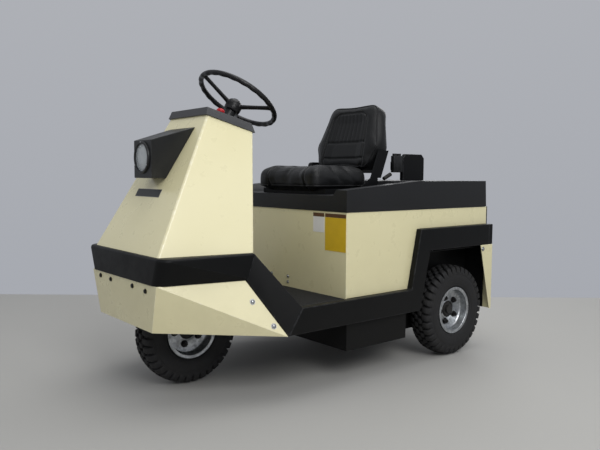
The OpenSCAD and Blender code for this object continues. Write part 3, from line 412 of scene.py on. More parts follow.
def folded(node, bends, steps):
    """Copy of a solid's mesh with rounded folds. Each bend is a radius and a test of the edges it takes."""
    work = bmesh.new()
    work.from_mesh(NODES[node].data)
    bmesh.ops.remove_doubles(work, verts=work.verts, dist=MERGE)
    bmesh.ops.dissolve_limit(work, angle_limit=FLAT, verts=work.verts, edges=work.edges)
    layer = work.faces.layers.float.new("fold")
    for radius, wanted in bends:
        edges = [
            e for e in work.edges
            if e.is_manifold and e.calc_face_angle(0) > SHARP
            and all(f[layer] == 0 for f in e.link_faces) and wanted(e)
        ]
        for face in bevel(work, edges, radius, steps):
            face[layer] = 1.0
    return work


def sheet_piece(node, body, material, bends, steps=3):
    """Piece that stands for a solid, the same form with rounded folds and even shading."""
    piece = new_piece(node + "_skin", folded(node, bends, steps), 50, body, material, (node,))
    piece.modifiers.new("Even shading", "WEIGHTED_NORMAL").keep_sharp = True
    return settle(piece)


def turns(count):
    """Cosine and sine of even turns of a circle."""
    return [(math.cos(2 * math.pi * k / count), math.sin(2 * math.pi * k / count)) for k in range(count)]


def bridge(work, rings, around=True, closed=True):
    """Faces from each ring of points to the next, and round to the first or over both ends."""
    for one, two in zip(rings, rings[1:] + rings[:1] if around else rings[1:]):
        count = len(one)
        for k in range(count if closed else count - 1):
            work.faces.new((one[k], one[(k + 1) % count], two[(k + 1) % count], two[k]))
    if not around:
        work.faces.new(rings[0])
        work.faces.new(rings[-1])
    bmesh.ops.remove_doubles(work, verts=work.verts, dist=1e-6)
    bmesh.ops.recalc_face_normals(work, faces=work.faces)
    return work


def turned(profile, steps, centre, closed=True, axis="Y", work=None):
    """Bmesh turned about an axis through a centre from points of radius and place along it, in metres."""
    lay = {"X": Matrix.Rotation(-math.pi / 2, 3, "Z"), "Y": Matrix.Identity(3),
           "Z": Matrix.Rotation(math.pi / 2, 3, "X")}[axis]
    if work is None:
        work = bmesh.new()
    rings = [[work.verts.new(centre + lay @ Vector((r * s, h, r * c))) for r, h in profile]
             for c, s in turns(steps)]
    return bridge(work, rings, closed=closed)


def new_tree(name, **inputs):
    """Geometry tree with named inputs beside the geometry and the finish, and the sockets they come in by."""
    tree = bpy.data.node_groups.new(name, "GeometryNodeTree")
    tree.interface.new_socket("Geometry", in_out="INPUT", socket_type="NodeSocketGeometry")
    for label, kind in {**inputs, "Finish": "Material"}.items():
        tree.interface.new_socket(
            label.replace("_", " "), in_out="INPUT", socket_type="NodeSocket" + kind)
    tree.interface.new_socket("Geometry", in_out="OUTPUT", socket_type="NodeSocketGeometry")
    return tree, add(tree, "NodeGroupInput").outputs


def close_tree(tree, given, points, shape, **turn):
    """End a tree in copies of a shape on points, made real and given their finish."""
    copies = add(tree, "GeometryNodeInstanceOnPoints", {"Points": points, "Instance": shape, **turn})
    real = add(tree, "GeometryNodeRealizeInstances", {0: copies.outputs[0]})
    dressed = add(tree, "GeometryNodeSetMaterial", {0: real.outputs[0], "Material": given["Finish"]})
    add(tree, "NodeGroupOutput", {0: dressed.outputs[0]})
    return tree


@cache
def ring_tree():
    """Copies of the piece turned round the y axis through a centre: lugs and nuts of a wheel."""
    tree, given = new_tree("Ring of copies", Count="Int", Phase="Float", Centre="Vector")
    line = add(tree, "GeometryNodeMeshLine", {
        "Count": given["Count"], "Start Location": given["Centre"], "Offset": (0, 0, 0)})
    step = add(tree, "ShaderNodeMath", {0: 2 * math.pi, 1: given["Count"]}, operation="DIVIDE")
    index = add(tree, "GeometryNodeInputIndex")
    angle = add(tree, "ShaderNodeMath", {
        0: index.outputs[0], 1: step.outputs[0], 2: given["Phase"]}, operation="MULTIPLY_ADD")
    spin = add(tree, "ShaderNodeCombineXYZ", {"Y": angle.outputs[0]})
    return close_tree(tree, given, line.outputs[0], given["Geometry"], Rotation=spin.outputs[0])


@cache
def row_tree():
    """Copies of the piece in a straight row: ribs of the mat, and cells, plugs and links of the battery."""
    tree, given = new_tree("Row of copies", Count="Int", Step="Vector")
    line = add(tree, "GeometryNodeMeshLine", {"Count": given["Count"], "Offset": given["Step"]})
    return close_tree(tree, given, line.outputs[0], given["Geometry"])


@cache
def bolt_tree():
    """Bolt heads on washers at the points given, each turned by the points' own attribute."""
    tree, given = new_tree("Bolt heads", Sides="Int", Head_radius="Float", Head_height="Float",
                           Dome_height="Float", Washer_radius="Float")
    radius, height = given["Head radius"], given["Head height"]
    head = add(tree, "GeometryNodeMeshCylinder", {
        "Vertices": given["Sides"], "Radius": radius, "Depth": height})
    half = add(tree, "ShaderNodeMath", {0: height, 1: 0.5}, operation="MULTIPLY")
    lift = add(tree, "ShaderNodeCombineXYZ", {"Z": half.outputs[0]})
    raised = add(tree, "GeometryNodeTransform", {0: head.outputs["Mesh"], "Translation": lift.outputs[0]})
    dome = add(tree, "GeometryNodeMeshUVSphere", {"Segments": 20, "Rings": 10, "Radius": radius})
    squeeze = add(tree, "ShaderNodeMath", {0: given["Dome height"], 1: radius}, operation="DIVIDE")
    flat = add(tree, "ShaderNodeCombineXYZ", {"X": 0.97, "Y": 0.97, "Z": squeeze.outputs[0]})
    top = add(tree, "ShaderNodeCombineXYZ", {"Z": height})
    capped = add(tree, "GeometryNodeTransform", {
        0: dome.outputs["Mesh"], "Translation": top.outputs[0], "Scale": flat.outputs[0]})
    washer = add(tree, "GeometryNodeMeshCylinder", {
        "Vertices": 28, "Radius": given["Washer radius"], "Depth": 0.0024})
    joined_up = add(tree, "GeometryNodeJoinGeometry")
    for part in (washer, raised, capped):
        tree.links.new(part.outputs[0], joined_up.inputs[0])
    turn = add(tree, "GeometryNodeInputNamedAttribute", {"Name": "turn"}, data_type="FLOAT_VECTOR")
    return close_tree(tree, given, given["Geometry"], joined_up.outputs[0], Rotation=turn.outputs[0])


@cache
def stitch_tree():
    """Stitches along a line: short rounded threads that follow it."""
    tree, given = new_tree("Stitches", Step="Float", Thread="Float")
    path = add(tree, "GeometryNodeMeshToCurve", {0: given["Geometry"]})
    points = add(tree, "GeometryNodeCurveToPoints", {
        0: path.outputs[0], "Length": given["Step"]}, mode="LENGTH").outputs
    ball = add(tree, "GeometryNodeMeshUVSphere", {"Segments": 6, "Rings": 4, "Radius": given["Thread"]})
    long = add(tree, "GeometryNodeTransform", {0: ball.outputs[0], "Scale": (1.0, 1.0, 3.2)})
    return close_tree(tree, given, points["Points"], long.outputs[0], Rotation=points["Rotation"])


def grow(name, mesh, material, tree_maker, **values):
    """Object that a geometry tree makes from a mesh, settled to a plain mesh."""
    piece = show(name, mesh)
    grown = piece.modifiers.new("Repeat", "NODES")
    grown.node_group = tree_maker()
    values["Finish"] = finish(material)
    for item in grown.node_group.interface.items_tree:
        key = item.name.replace(" ", "_")
        if item.in_out == "INPUT" and key in values:
            grown[item.identifier] = values[key]
    settle(piece).data.set_sharp_from_angle(angle=math.radians(40))
    return piece


def repeat(name, mesh, body, material, tree_maker, slot=None, **values):
    """Piece that a geometry tree makes from a mesh."""
    return hand_over(grow(name, mesh, material, tree_maker, **values), body)


def row(name, work, material, slot, count, step):
    """Piece of copies of a bmesh in a row along x."""
    return repeat(name, mesh_from(work, name, 40), "chassis", material, row_tree, slot, Count=count,
                  Step=(step, 0.0, 0.0))


def bolts(name, material, head, rows, slot=None):
    """Bolt heads at places with outward normals. A head: sides, radius, height, dome and washer radius."""
    mesh = bpy.data.meshes.new(name)
    mesh.from_pydata([tuple(spot) for spot, normal in rows], [], [])
    standing = mesh.attributes.new("turn", "FLOAT_VECTOR", "POINT")
    for point, (spot, normal) in zip(standing.data, rows):
        point.vector = tuple(Vector(normal).to_track_quat("Z", "Y").to_euler())
    keys = ("Sides", "Head_radius", "Head_height", "Dome_height", "Washer_radius")
    return repeat(name, mesh, "chassis", material, bolt_tree, slot, **dict(zip(keys, head)))


def joined(meshes):
    """Bmesh of several meshes."""
    work = bmesh.new()
    for mesh in meshes:
        work.from_mesh(mesh)
    return work


def rounded_block(low, high, radius, steps=3):
    """Bmesh of a block with rounded edges."""
    work = bmesh.new()
    bmesh.ops.create_cube(work, size=1.0)
    bmesh.ops.scale(work, vec=high - low, verts=work.verts)
    bmesh.ops.translate(work, vec=(low + high) / 2, verts=work.verts)
    bevel(work, list(work.edges), radius, steps)
    return work


def rounded_nut(radius, height):
    """Mesh of a nut with a stud through it, standing on its washer at the origin along z."""
    work = bmesh.new()
    # Sides, radii at the foot and at the top as shares of the nut's, depth and middle as shares of its height
    nut, stud, washer = (6, 1, 1, 1, 0.5), (16, 0.56, 0.5, 0.4, 1.15), (24, 1.35, 1.3, 0.16, 0.08)
    for sides, foot, top, depth, mid in (nut, stud, washer):
        bmesh.ops.create_cone(
            work, cap_ends=True, segments=sides, radius1=radius * foot, radius2=radius * top,
            depth=height * depth, matrix=Matrix.Translation((0, 0, height * mid)))
        if sides == 6:
            rims = [e for e in work.edges if min(v.co.z for v in e.verts) > height / 2]
            bevel(work, rims, radius * 0.16, 2)
    return mesh_from(work, "nut", 30)


def closed_tube(path, radius, sides=10):
    """Bmesh of a round tube along a closed loop of points."""
    work = bmesh.new()
    rings, count = [], len(path)
    centre = sum(path, Vector()) / count
    for i, point in enumerate(path):
        ahead = (path[(i + 1) % count] - path[i - 1]).normalized()
        side = point - centre
        side = (side - side.dot(ahead) * ahead).normalized()
        up = side.cross(ahead).normalized()
        rings.append([work.verts.new(point + radius * (c * side + s * up)) for c, s in turns(sides)])
    return bridge(work, rings)


class TOWTRACTOR_OT_stage(bpy.types.Operator):
    """Floor, air, soft lights and the camera at the photograph's angle"""

    bl_idname = "tow_tractor.stage"
    bl_label = "Stage"

    def execute(self, context):
        scene = context.scene
        scene.view_settings.view_transform = "Standard"
        # The photograph's camera: the way it looks, its dip, its roll and its place
        aim, dip, roll = math.radians(39.5), math.radians(4.467), math.radians(0.35)
        ahead = Vector((-math.sin(aim), -math.cos(aim), 0))
        eye = place(2436.2, 2257.6, 835.3)
        # Floor whose far edge lies behind the tractor, where the photograph's floor meets its wall
        size, far, patch = 30.0, 4.38, 1.43
        work = bmesh.new()
        bmesh.ops.create_grid(work, x_segments=2, y_segments=2, size=size / 2)
        spot = eye + (far - size / 2) * ahead
        lay = Matrix.Translation((spot.x, spot.y, 0)) @ Matrix.Rotation(math.pi / 2 - aim, 4, "Z")
        bmesh.ops.transform(work, matrix=lay, verts=work.verts)
        mesh = mesh_from(work, "studio_floor", 35)
        material, tree, shader, where = surface("studio_floor", Roughness=0.7)
        feed(material, shader, clouds(tree, where, patch, linear("#a7a6a2"), linear("#a2a19d"), 3.0)[1])
        mesh.materials.append(material)
        show("studio_floor", mesh)
        # Air that is a little paler overhead than at eye level
        scene.world = bpy.data.worlds.new("studio_air")
        scene.world.use_nodes = True
        tree = scene.world.node_tree
        height = add(tree, "ShaderNodeSeparateXYZ", {0: add(tree, "ShaderNodeTexCoord").outputs["Generated"]})
        share = add(tree, "ShaderNodeMapRange", {"Value": height.outputs["Z"], 1: -0.2, 2: 0.5})
        tone = add(tree, "ShaderNodeMix", {
            0: share.outputs[0], 6: linear("#a6a9b0"), 7: linear("#b2b4b9")}, data_type="RGBA")
        tree.links.new(tone.outputs[2], tree.nodes["Background"].inputs["Color"])
        # Lights: place, what they face, size and power
        for name, spot, target, size, power in (
            ("key_softbox", (1.6, 4.2, 3.6), (-0.1, 0.0, 0.5), 2.6, 138),
            ("side_softbox", (-0.6, 3.7, 2.8), (0.5, 0.2, 0.8), 1.1, 6),
            ("front_softbox", (4.2, 0.4, 2.6), (0.4, 0.0, 0.6), 2.4, 6),
            ("top_softbox", (-0.4, 0.3, 4.2), (-0.2, 0.0, 0.6), 3.0, 60),
            ("rear_softbox", (-4.0, -2.0, 2.8), (-0.3, 0.0, 0.6), 2.4, 40),
        ):
            light = bpy.data.lights.new(name, "AREA")
            light.size = size
            light.energy = power
            lamp = bpy.data.objects.new(name, light)
            lamp.location = spot
            lamp.rotation_euler = (Vector(target) - Vector(spot)).to_track_quat("-Z", "Y").to_euler()
            scene.collection.objects.link(lamp)
        look = ahead * math.cos(dip) - Vector((0, 0, math.sin(dip)))
        data = bpy.data.cameras.new("photo_camera")
        data.sensor_width, data.lens = 36.0, 38.4
        data.clip_start, data.clip_end = 0.05, 100
        camera = bpy.data.objects.new("photo_camera", data)
        turn = look.to_track_quat("-Z", "Y").to_matrix().to_4x4()
        camera.matrix_world = Matrix.Translation(eye) @ turn @ Matrix.Rotation(roll, 4, "Z")
        scene.collection.objects.link(camera)
        scene.camera = camera
        return {"FINISHED"}


class TOWTRACTOR_OT_panels(bpy.types.Operator):
    """Cream sheet panels with rounded folds"""

    bl_idname = "tow_tractor.panels"
    bl_label = "Cream panels"

    def execute(self, context):
        sizes = settings().sizes

        def long_fold(edge):
            """The cowl's four long outer corners."""
            one, two = edge.verts
            run = (two.co - one.co).normalized()
            return edge.is_convex and abs(run.z) > 0.5 and edge.calc_length() > 0.3

        sheet_piece("cowl", "chassis", "cream_enamel",
                    [(sizes.cowl_fold, long_fold), (sizes.sheet_fold, any_edge)], 4)
        for node in ("front_skirt", "rear_skirt", "front_panel", "side_panel_left", "side_panel_right"):
            sheet_piece(node, "chassis", "cream_enamel", [(sizes.sheet_fold, any_edge)])
        return {"FINISHED"}


class TOWTRACTOR_OT_band(bpy.types.Operator):
    """Black band, boards and plates of the frame with rounded edges"""

    bl_idname = "tow_tractor.band"
    bl_label = "Black frame"

    def execute(self, context):
        radius = settings().sizes.band_fold
        for body, fold, nodes in (
            ("chassis", radius, ("front_bumper", "step_stringer_left", "step_stringer_right",
                                 "side_frame_left", "side_frame_right", "rear_bumper")),
            ("chassis", radius / 3, ("toe_board", "floor_plate")),
            ("battery_lid", radius, ("plug_bracket",)),
            ("battery_lid", radius / 3, ("seat_frame",)),
        ):
            for node in nodes:
                sheet_piece(node, body, "black_chassis_paint", [(fold, any_edge)])
        return {"FINISHED"}


class TOWTRACTOR_OT_lid(bpy.types.Operator):
    """Moulded battery lid with soft edges"""

    bl_idname = "tow_tractor.lid"
    bl_label = "Battery lid"

    def execute(self, context):
        low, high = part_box("lid")
        # Depth of the lip round the outside, and of the skin above the hollow
        lip, skin = 0.012, 0.08
        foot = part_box("side_panel_left")[1].z + lip

        def outer(edge):
            """Edges of the outer skin, clear of the lip, the hinges and the hollow."""
            one, two = edge.verts
            inside = [low.x + lip < v.co.x < high.x - lip and abs(v.co.y) < high.y - lip
                      and v.co.z < high.z - skin for v in (one, two)]
            return edge.is_convex and max(one.co.z, two.co.z) > foot and not any(inside)

        sheet_piece("lid", "battery_lid", "moulded_polyethylene",
                    [(settings().sizes.lid_fold, outer)], 4)
        return {"FINISHED"}


class TOWTRACTOR_OT_seat(bpy.types.Operator):
    """Cushion and backrest in sewn vinyl over foam"""

    bl_idname = "tow_tractor.seat"
    bl_label = "Seat"

    # Grid of the cover, frames that the cloth runs for and its stiffness
    GRID, CLOTH_FRAMES, STIFFNESS = 0.006, 20, 18
    # Cross seams, and the radius of the thread and of the piping
    SEAM_DEPTH, SEAM_WIDTH, THREAD, PIPING = 0.006, 0.0065, 0.0011, 0.0042
    # Distance of the stitches outside the panel's border
    STITCH_GAP = 0.007
    # Skin that faces the sewing by less than the first share isn't pressed in, past the second it is in full
    FACING = (0.25, 0.75)

    def read(self, mesh, what):
        """Array of a mesh's places or normals."""
        values = np.empty(len(mesh.vertices) * 3)
        mesh.vertices.foreach_get(what, values)
        return values.reshape(-1, 3)

    def swell(self, node, name, inset, cap, pressure, rounds):
        """Draw a soft solid in, remesh it, let cloth under pressure fill it out again and round it off."""
        work = bmesh.new()
        work.from_mesh(NODES[node].data)
        bmesh.ops.remove_doubles(work, verts=work.verts, dist=MERGE)
        work.normal_update()
        for vert in work.verts:
            vert.co -= inset * vert.normal
        pad = show(name, mesh_from(work, name))
        grid = pad.modifiers.new("Grid", "REMESH")
        grid.mode, grid.voxel_size = "VOXEL", self.GRID
        settle(pad)
        rest = self.read(pad.data, "co")
        cloth = pad.modifiers.new("Cloth", "CLOTH")
        cloth.settings.use_pressure = True
        cloth.settings.uniform_pressure_force = pressure
        cloth.settings.tension_stiffness = self.STIFFNESS
        cloth.settings.compression_stiffness = self.STIFFNESS
        cloth.settings.effector_weights.gravity = 0
        scene = bpy.context.scene
        for step in range(self.CLOTH_FRAMES):
            scene.frame_set(step + 1)
        graph = bpy.context.evaluated_depsgraph_get()
        shift = self.read(pad.evaluated_get(graph).data, "co") - rest
        length = np.linalg.norm(shift, axis=1, keepdims=True)
        shift *= np.minimum(1, cap / np.maximum(length, 1e-9))
        pad.modifiers.remove(cloth)
        scene.frame_set(1)
        pad.data.vertices.foreach_set("co", (rest + shift).ravel())
        pad.data.update()
        round_off = pad.modifiers.new("Round", "SMOOTH")
        round_off.factor, round_off.iterations = 0.5, rounds
        soft = pad.modifiers.new("Soft", "SUBSURF")
        soft.levels = soft.render_levels = 1
        return settle(pad)

    def dress(self, pad, node, fill, depth_at):
        """Press a pad in along its normals by the depth that a function gives, and cover it in vinyl."""
        mesh = pad.data
        spots, normals = self.read(mesh, "co"), self.read(mesh, "normal")
        spots -= normals * depth_at(spots, normals)[:, None]
        mesh.vertices.foreach_set("co", spots.ravel())
        mesh.update()
        mesh.shade_smooth()
        coat(mesh, "embossed_vinyl")
        hand_over(pad, "battery_lid", (node,))

    def sew(self, pad, name, line, towards):
        """Stitches on a pad along a line of points, each dropped on the pad in the direction given."""
        work = bmesh.new()
        work.from_mesh(pad.data)
        skin = BVHTree.FromBMesh(work)
        work.free()
        start, lift = 0.2, 0.0006
        spots, edges, unbroken = [], [], False
        for point in line:
            hit = skin.ray_cast(point - start * towards, towards)[0]
            if hit is not None:
                if unbroken:
                    edges.append((len(spots) - 1, len(spots)))
                spots.append(tuple(hit - lift * towards))
            unbroken = hit is not None
        mesh = bpy.data.meshes.new(name)
        mesh.from_pydata(spots, edges, [])
        repeat(name, mesh, "battery_lid", "nylon_thread", stitch_tree, "black_vinyl",
               Step=settings().sizes.stitch_step, Thread=self.THREAD)

    def welt(self, pad, name, at, normal):
        """Piping where a plane cuts a pad's skin."""
        work = bmesh.new()
        work.from_mesh(pad.data)
        cut = bmesh.ops.bisect_plane(
            work, geom=list(work.verts) + list(work.edges) + list(work.faces), plane_co=at, plane_no=normal
        )["geom_cut"]
        near = {}
        for edge in cut:
            if isinstance(edge, bmesh.types.BMEdge):
                for vert in edge.verts:
                    near.setdefault(vert, []).append(edge.other_vert(vert))
        first = max(near, key=lambda v: v.co.z)
        loop, before = [first], None
        while True:
            ahead = [v for v in near[loop[-1]] if v is not before]
            if not ahead or ahead[0] is first:
                break
            before = loop[-1]
            loop.append(ahead[0])
        path = [v.co.copy() for v in loop]
        work.free()
        step, fewest = 0.008, 24
        lengths = [0.0]
        for one, two in zip(path, path[1:] + path[:1]):
            lengths.append(lengths[-1] + (two - one).length)
        count = max(fewest, int(lengths[-1] / step))
        even, k = [], 0
        for i in range(count):
            goal = lengths[-1] * i / count
            while lengths[k + 1] < goal:
                k += 1
            share = (goal - lengths[k]) / max(lengths[k + 1] - lengths[k], 1e-9)
            even.append(path[k].lerp(path[(k + 1) % len(path)], share))
        new_piece(name, closed_tube(even, self.PIPING), 80, "battery_lid", "embossed_vinyl")

    def border(self, along, across, panel):
        """Signed distance from a panel's rounded border: its half length, half width and corner."""
        half_along, half_across, corner = panel
        qx = np.abs(along) - half_along + corner
        qy = np.abs(across) - half_across + corner
        outside = np.hypot(np.maximum(qx, 0), np.maximum(qy, 0))
        return outside + np.minimum(np.maximum(qx, qy), 0) - corner

    def border_line(self, panel):
        """Points where a panel's stitches run, along and across."""
        half_along, half_across, corner = panel
        bend = corner + self.STITCH_GAP
        points = []
        for k, (sx, sy) in enumerate(((1, 1), (-1, 1), (-1, -1), (1, -1))):
            for i in range(9):
                a = math.radians(90 * (k + i / 8))
                points.append((sx * (half_along - corner) + bend * math.cos(a),
                               sy * (half_across - corner) + bend * math.sin(a)))
        full = []
        for one, two in zip(points, points[1:] + points[:1]):
            count = max(1, int(math.dist(one, two) / self.GRID))
            full += [(one[0] + (two[0] - one[0]) * i / count, one[1] + (two[1] - one[1]) * i / count)
                     for i in range(count)]
        return full + full[:1]

    def sewn(self, line, along, seams, groove, width, hollow, slope):
        """Depth of a panel's border groove, hollow and cross seams, and the share that lies inside."""
        inside = np.clip(-line / self.GRID, 0, 1)
        depth = groove * np.exp(-((line / width) ** 2)) + hollow * np.clip(-line / slope, 0, 1)
        for seam in seams:
            depth += self.SEAM_DEPTH * inside * np.exp(-(((along - seam) / self.SEAM_WIDTH) ** 2))
        return depth, inside

    def facing(self, towards):
        """Share of the pressing that skin takes by how far it faces the way that is sewn."""
        least, full = self.FACING
        return np.clip((towards - least) / (full - least), 0, 1)

    def cushion(self):
        """Cushion with a sewn panel between its bolsters, which runs on over the front edge."""
        pad = self.swell(
            "seat_cushion", "seat_cushion_cover", inset=0.010, cap=0.017, pressure=3.0, rounds=18)
        low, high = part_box("seat_cushion")
        # The panel's back end, its half length, half width and corner, its seams behind the front edge, and
        # how high the piping lies
        back = low.x + 0.062
        panel = (high.x - back, 0.128, 0.035)
        crossings, welt_up = (0.082, 0.162), 0.014

        def depth_at(spots, normals):
            """How far the sewing presses each point in."""
            line = self.border(spots[:, 0] - high.x, spots[:, 1], panel)
            depth = self.sewn(
                line, high.x - spots[:, 0], crossings, groove=0.008, width=0.007, hollow=0.009, slope=0.04)[0]
            return depth * self.facing(np.maximum(normals[:, 2], normals[:, 0]))

        self.dress(pad, "seat_cushion", 0.85, depth_at)
        up = Vector((0, 0, 1))
        line = [Vector((high.x + a, b, high.z)) for a, b in self.border_line(panel)]
        self.sew(pad, "cushion_stitches", line, -up)
        self.welt(pad, "cushion_welt", Vector((0, 0, low.z + welt_up)), up)

    def backrest(self):
        """Backrest with a sewn panel that is fluted in its upper part."""
        pad = self.swell("seat_back", "seat_back_cover", inset=0.004, cap=0.007, pressure=1.5, rounds=30)
        # Its own frame: out of the front face, and up along the lean from the foot
        lean = math.radians(17)
        out = Vector((math.cos(lean), 0, math.sin(lean)))
        rise = Vector((-math.sin(lean), 0, math.cos(lean)))
        foot = place(322, 0, 918)
        # The panel's middle height, its half length, half width and corner, and its cross seams
        middle_up, panel, seams = 0.086, (0.142, 0.128, 0.05), (0.0, 0.080)
        # Flutes: step, depth, and how far they fade in above the upper seam
        flute, flute_depth, fade = 0.028, 0.0024, 0.012
        # How much the panel narrows over its half length, and how far behind the front face the piping lies
        narrow, welt_back = 0.12, 0.016

        def narrowing(up):
            """Share of the panel's width left at a height."""
            return 1.0 - narrow * (up - middle_up) / panel[0]

        def depth_at(spots, normals):
            """How far the sewing presses each point in."""
            up = (spots - np.array(foot)) @ np.array(rise)
            across = spots[:, 1] / narrowing(up)
            line = self.border(up - middle_up, across, panel)
            depth, inside = self.sewn(
                line, up, seams, groove=0.0075, width=0.0065, hollow=0.010, slope=0.05)
            upper = np.clip((up - seams[1]) / fade, 0, 1) * inside
            depth += flute_depth * upper * (0.5 + 0.5 * np.cos(2 * math.pi * across / flute)) ** 4
            return depth * self.facing(normals @ np.array(out))

        self.dress(pad, "seat_back", 0.8, depth_at)
        line = [foot + rise * (middle_up + a) + Vector((0, b * narrowing(middle_up + a), 0))
                for a, b in self.border_line(panel)]
        self.sew(pad, "backrest_stitches", line, -out)
        self.welt(pad, "backrest_welt", foot - welt_back * out, out)

    def execute(self, context):
        self.cushion()
        self.backrest()
        return {"FINISHED"}


class TOWTRACTOR_OT_wheels(bpy.types.Operator):
    """Lugged tyres on pressed rims with their nuts"""

    bl_idname = "tow_tractor.wheels"
    bl_label = "Wheels"

    # Blocks of the tread in mm: place across, shift along, half width at top and foot, top and foot radius
    SHOULDER_BLOCK = (
        (23.5, -2.5, 9.6, 11.6, 208.2, 193), (33, -0.5, 10.8, 12.8, 206.4, 190),
        (42, 1.5, 11.6, 13.6, 204.0, 186), (49.2, 3, 11.6, 13.6, 198.6, 180),
        (52.6, 3.5, 10.8, 12.8, 188.0, 175), (54.2, 3.5, 9.0, 11.0, 177.0, 171))
    CENTRE_BLOCK = (
        (1.8, -2.0, 9.2, 11.2, 209.9, 195), (10.5, 0.0, 10.0, 12.0, 209.7, 195),
        (19, 2.0, 9.6, 11.6, 208.8, 194))
    BLOCK_EDGE = 0.0013
    # Blocks of each row, the side they lie on and their place in the pitch
    ROWS = (
        (SHOULDER_BLOCK, 1, 0.34), (SHOULDER_BLOCK, -1, 0.84), (CENTRE_BLOCK, 1, 0.84),
        (CENTRE_BLOCK, -1, 0.34))
    # Sections in mm of radius and place across, the carcass as far as its middle
    CARCASS = (
        (100.4, 40.6), (104, 40.6), (109.4, 40.8), (112, 43), (115, 47.5), (119, 49.5), (121, 49.2),
        (123, 50.4), (132, 52.6), (144, 54.4), (154, 55), (164, 54.6), (166, 53.6), (168, 54.4), (174, 53.2),
        (179, 50.5), (184, 46.5), (189, 40.5), (193, 32), (196.5, 18), (197, 0))
    SHELL = (
        (96.5, 46), (95.2, 44.5), (95, 40), (94.8, 22), (93, 13), (89, 8.5), (82, 7), (76, 5.2), (70, 4.6),
        (62, 4.2), (50, 4.2), (44, 5.4), (40.5, 7), (39, 7), (39, -4), (60, -4), (88, -4), (95, -6),
        (95, -44), (96.5, -46), (108, -46), (109, -45), (109, -42), (107.5, -41), (101, -41), (99.9, -39),
        (99.9, 39), (101, 41), (106, 41.2), (108, 42.6), (109, 44.6), (108.6, 46.6), (107, 47.2),
        (104.5, 46.6), (100, 46))
    HUB = (
        (20.1, 8), (20.1, -50), (76, -50), (79, -47), (79, -8), (76, -4.4), (38.6, -4.4), (38.6, 1), (36, 3),
        (31, 3.4), (29, 8))
    # Nuts: radius, height, place out from the axle and across, and turn of the first
    NUT, NUT_SEAT, NUT_PHASE = (0.0115, 0.013), (0.058, 0.0042), 0.07

    def block(self, rows, side):
        """One block of the tread on the side given, at the top of a wheel centred on the origin."""
        work = bmesh.new()
        rings = []
        for y, shift, top, foot, high, low in rows:
            rings.append([work.verts.new(Vector((side * x / 1000, side * y / 1000, z / 1000))) for x, z in (
                (shift - foot, low), (shift + foot, low), (shift + top, high), (shift - top, high))])
        bridge(work, rings, around=False)
        bevel(work, [e for e in work.edges if e.calc_face_angle(0) > math.radians(40)], self.BLOCK_EDGE, 2)
        return mesh_from(work, "block", 40)

    def execute(self, context):
        sizes = settings().sizes
        pitch = 2 * math.pi / sizes.lug_count
        section = self.CARCASS + tuple((r, -y) for r, y in reversed(self.CARCASS[:-1]))

        def turn(profile, steps, facing=1):
            """Section turned about the wheel's axle, its outer face to the side given."""
            return turned([(r / 1000, facing * y / 1000) for r, y in profile], steps, centre)

        for tag, body, tyre, rim, facing in (
            ("front", "front_wheel", "front_tyre", "front_rim", 1),
            ("rear_left", "rear_wheel_left", "rear_tyre_left", "rear_rim_left", 1),
            ("rear_right", "rear_wheel_right", "rear_tyre_right", "rear_rim_right", -1),
        ):
            centre = middle(tyre)
            rings = [
                grow(tag + "_blocks", self.block(rows, side), "tyre_rubber", ring_tree, Count=sizes.lug_count,
                     Phase=phase * pitch, Centre=tuple(centre))
                for rows, side, phase in self.ROWS]
            carcass = mesh_from(turn(section, 120), tag + "_carcass", 35)
            cover = joined([carcass] + [ring.data for ring in rings])
            new_piece(tag + "_tyre_cover", cover, None, body, "tyre_rubber", (tyre,))
            for ring in rings:
                bpy.data.objects.remove(ring)
            new_piece(tag + "_rim_shell", turn(self.SHELL, 96, facing), 30, body, "galvanised_steel",
                      (rim,))
            new_piece(tag + "_hub", turn(self.HUB, 64, facing), 30, body, "painted_cast_steel")
            nut = rounded_nut(*self.NUT)
            out, across = self.NUT_SEAT
            nut.transform(Matrix.Translation((out, facing * across, 0))
                          @ Matrix.Rotation(-facing * math.pi / 2, 4, "X"))
            repeat(tag + "_nuts", nut, body, "black_oxide_steel", ring_tree, "dark_steel",
                   Count=sizes.nut_count, Phase=self.NUT_PHASE, Centre=tuple(centre))
        return {"FINISHED"}


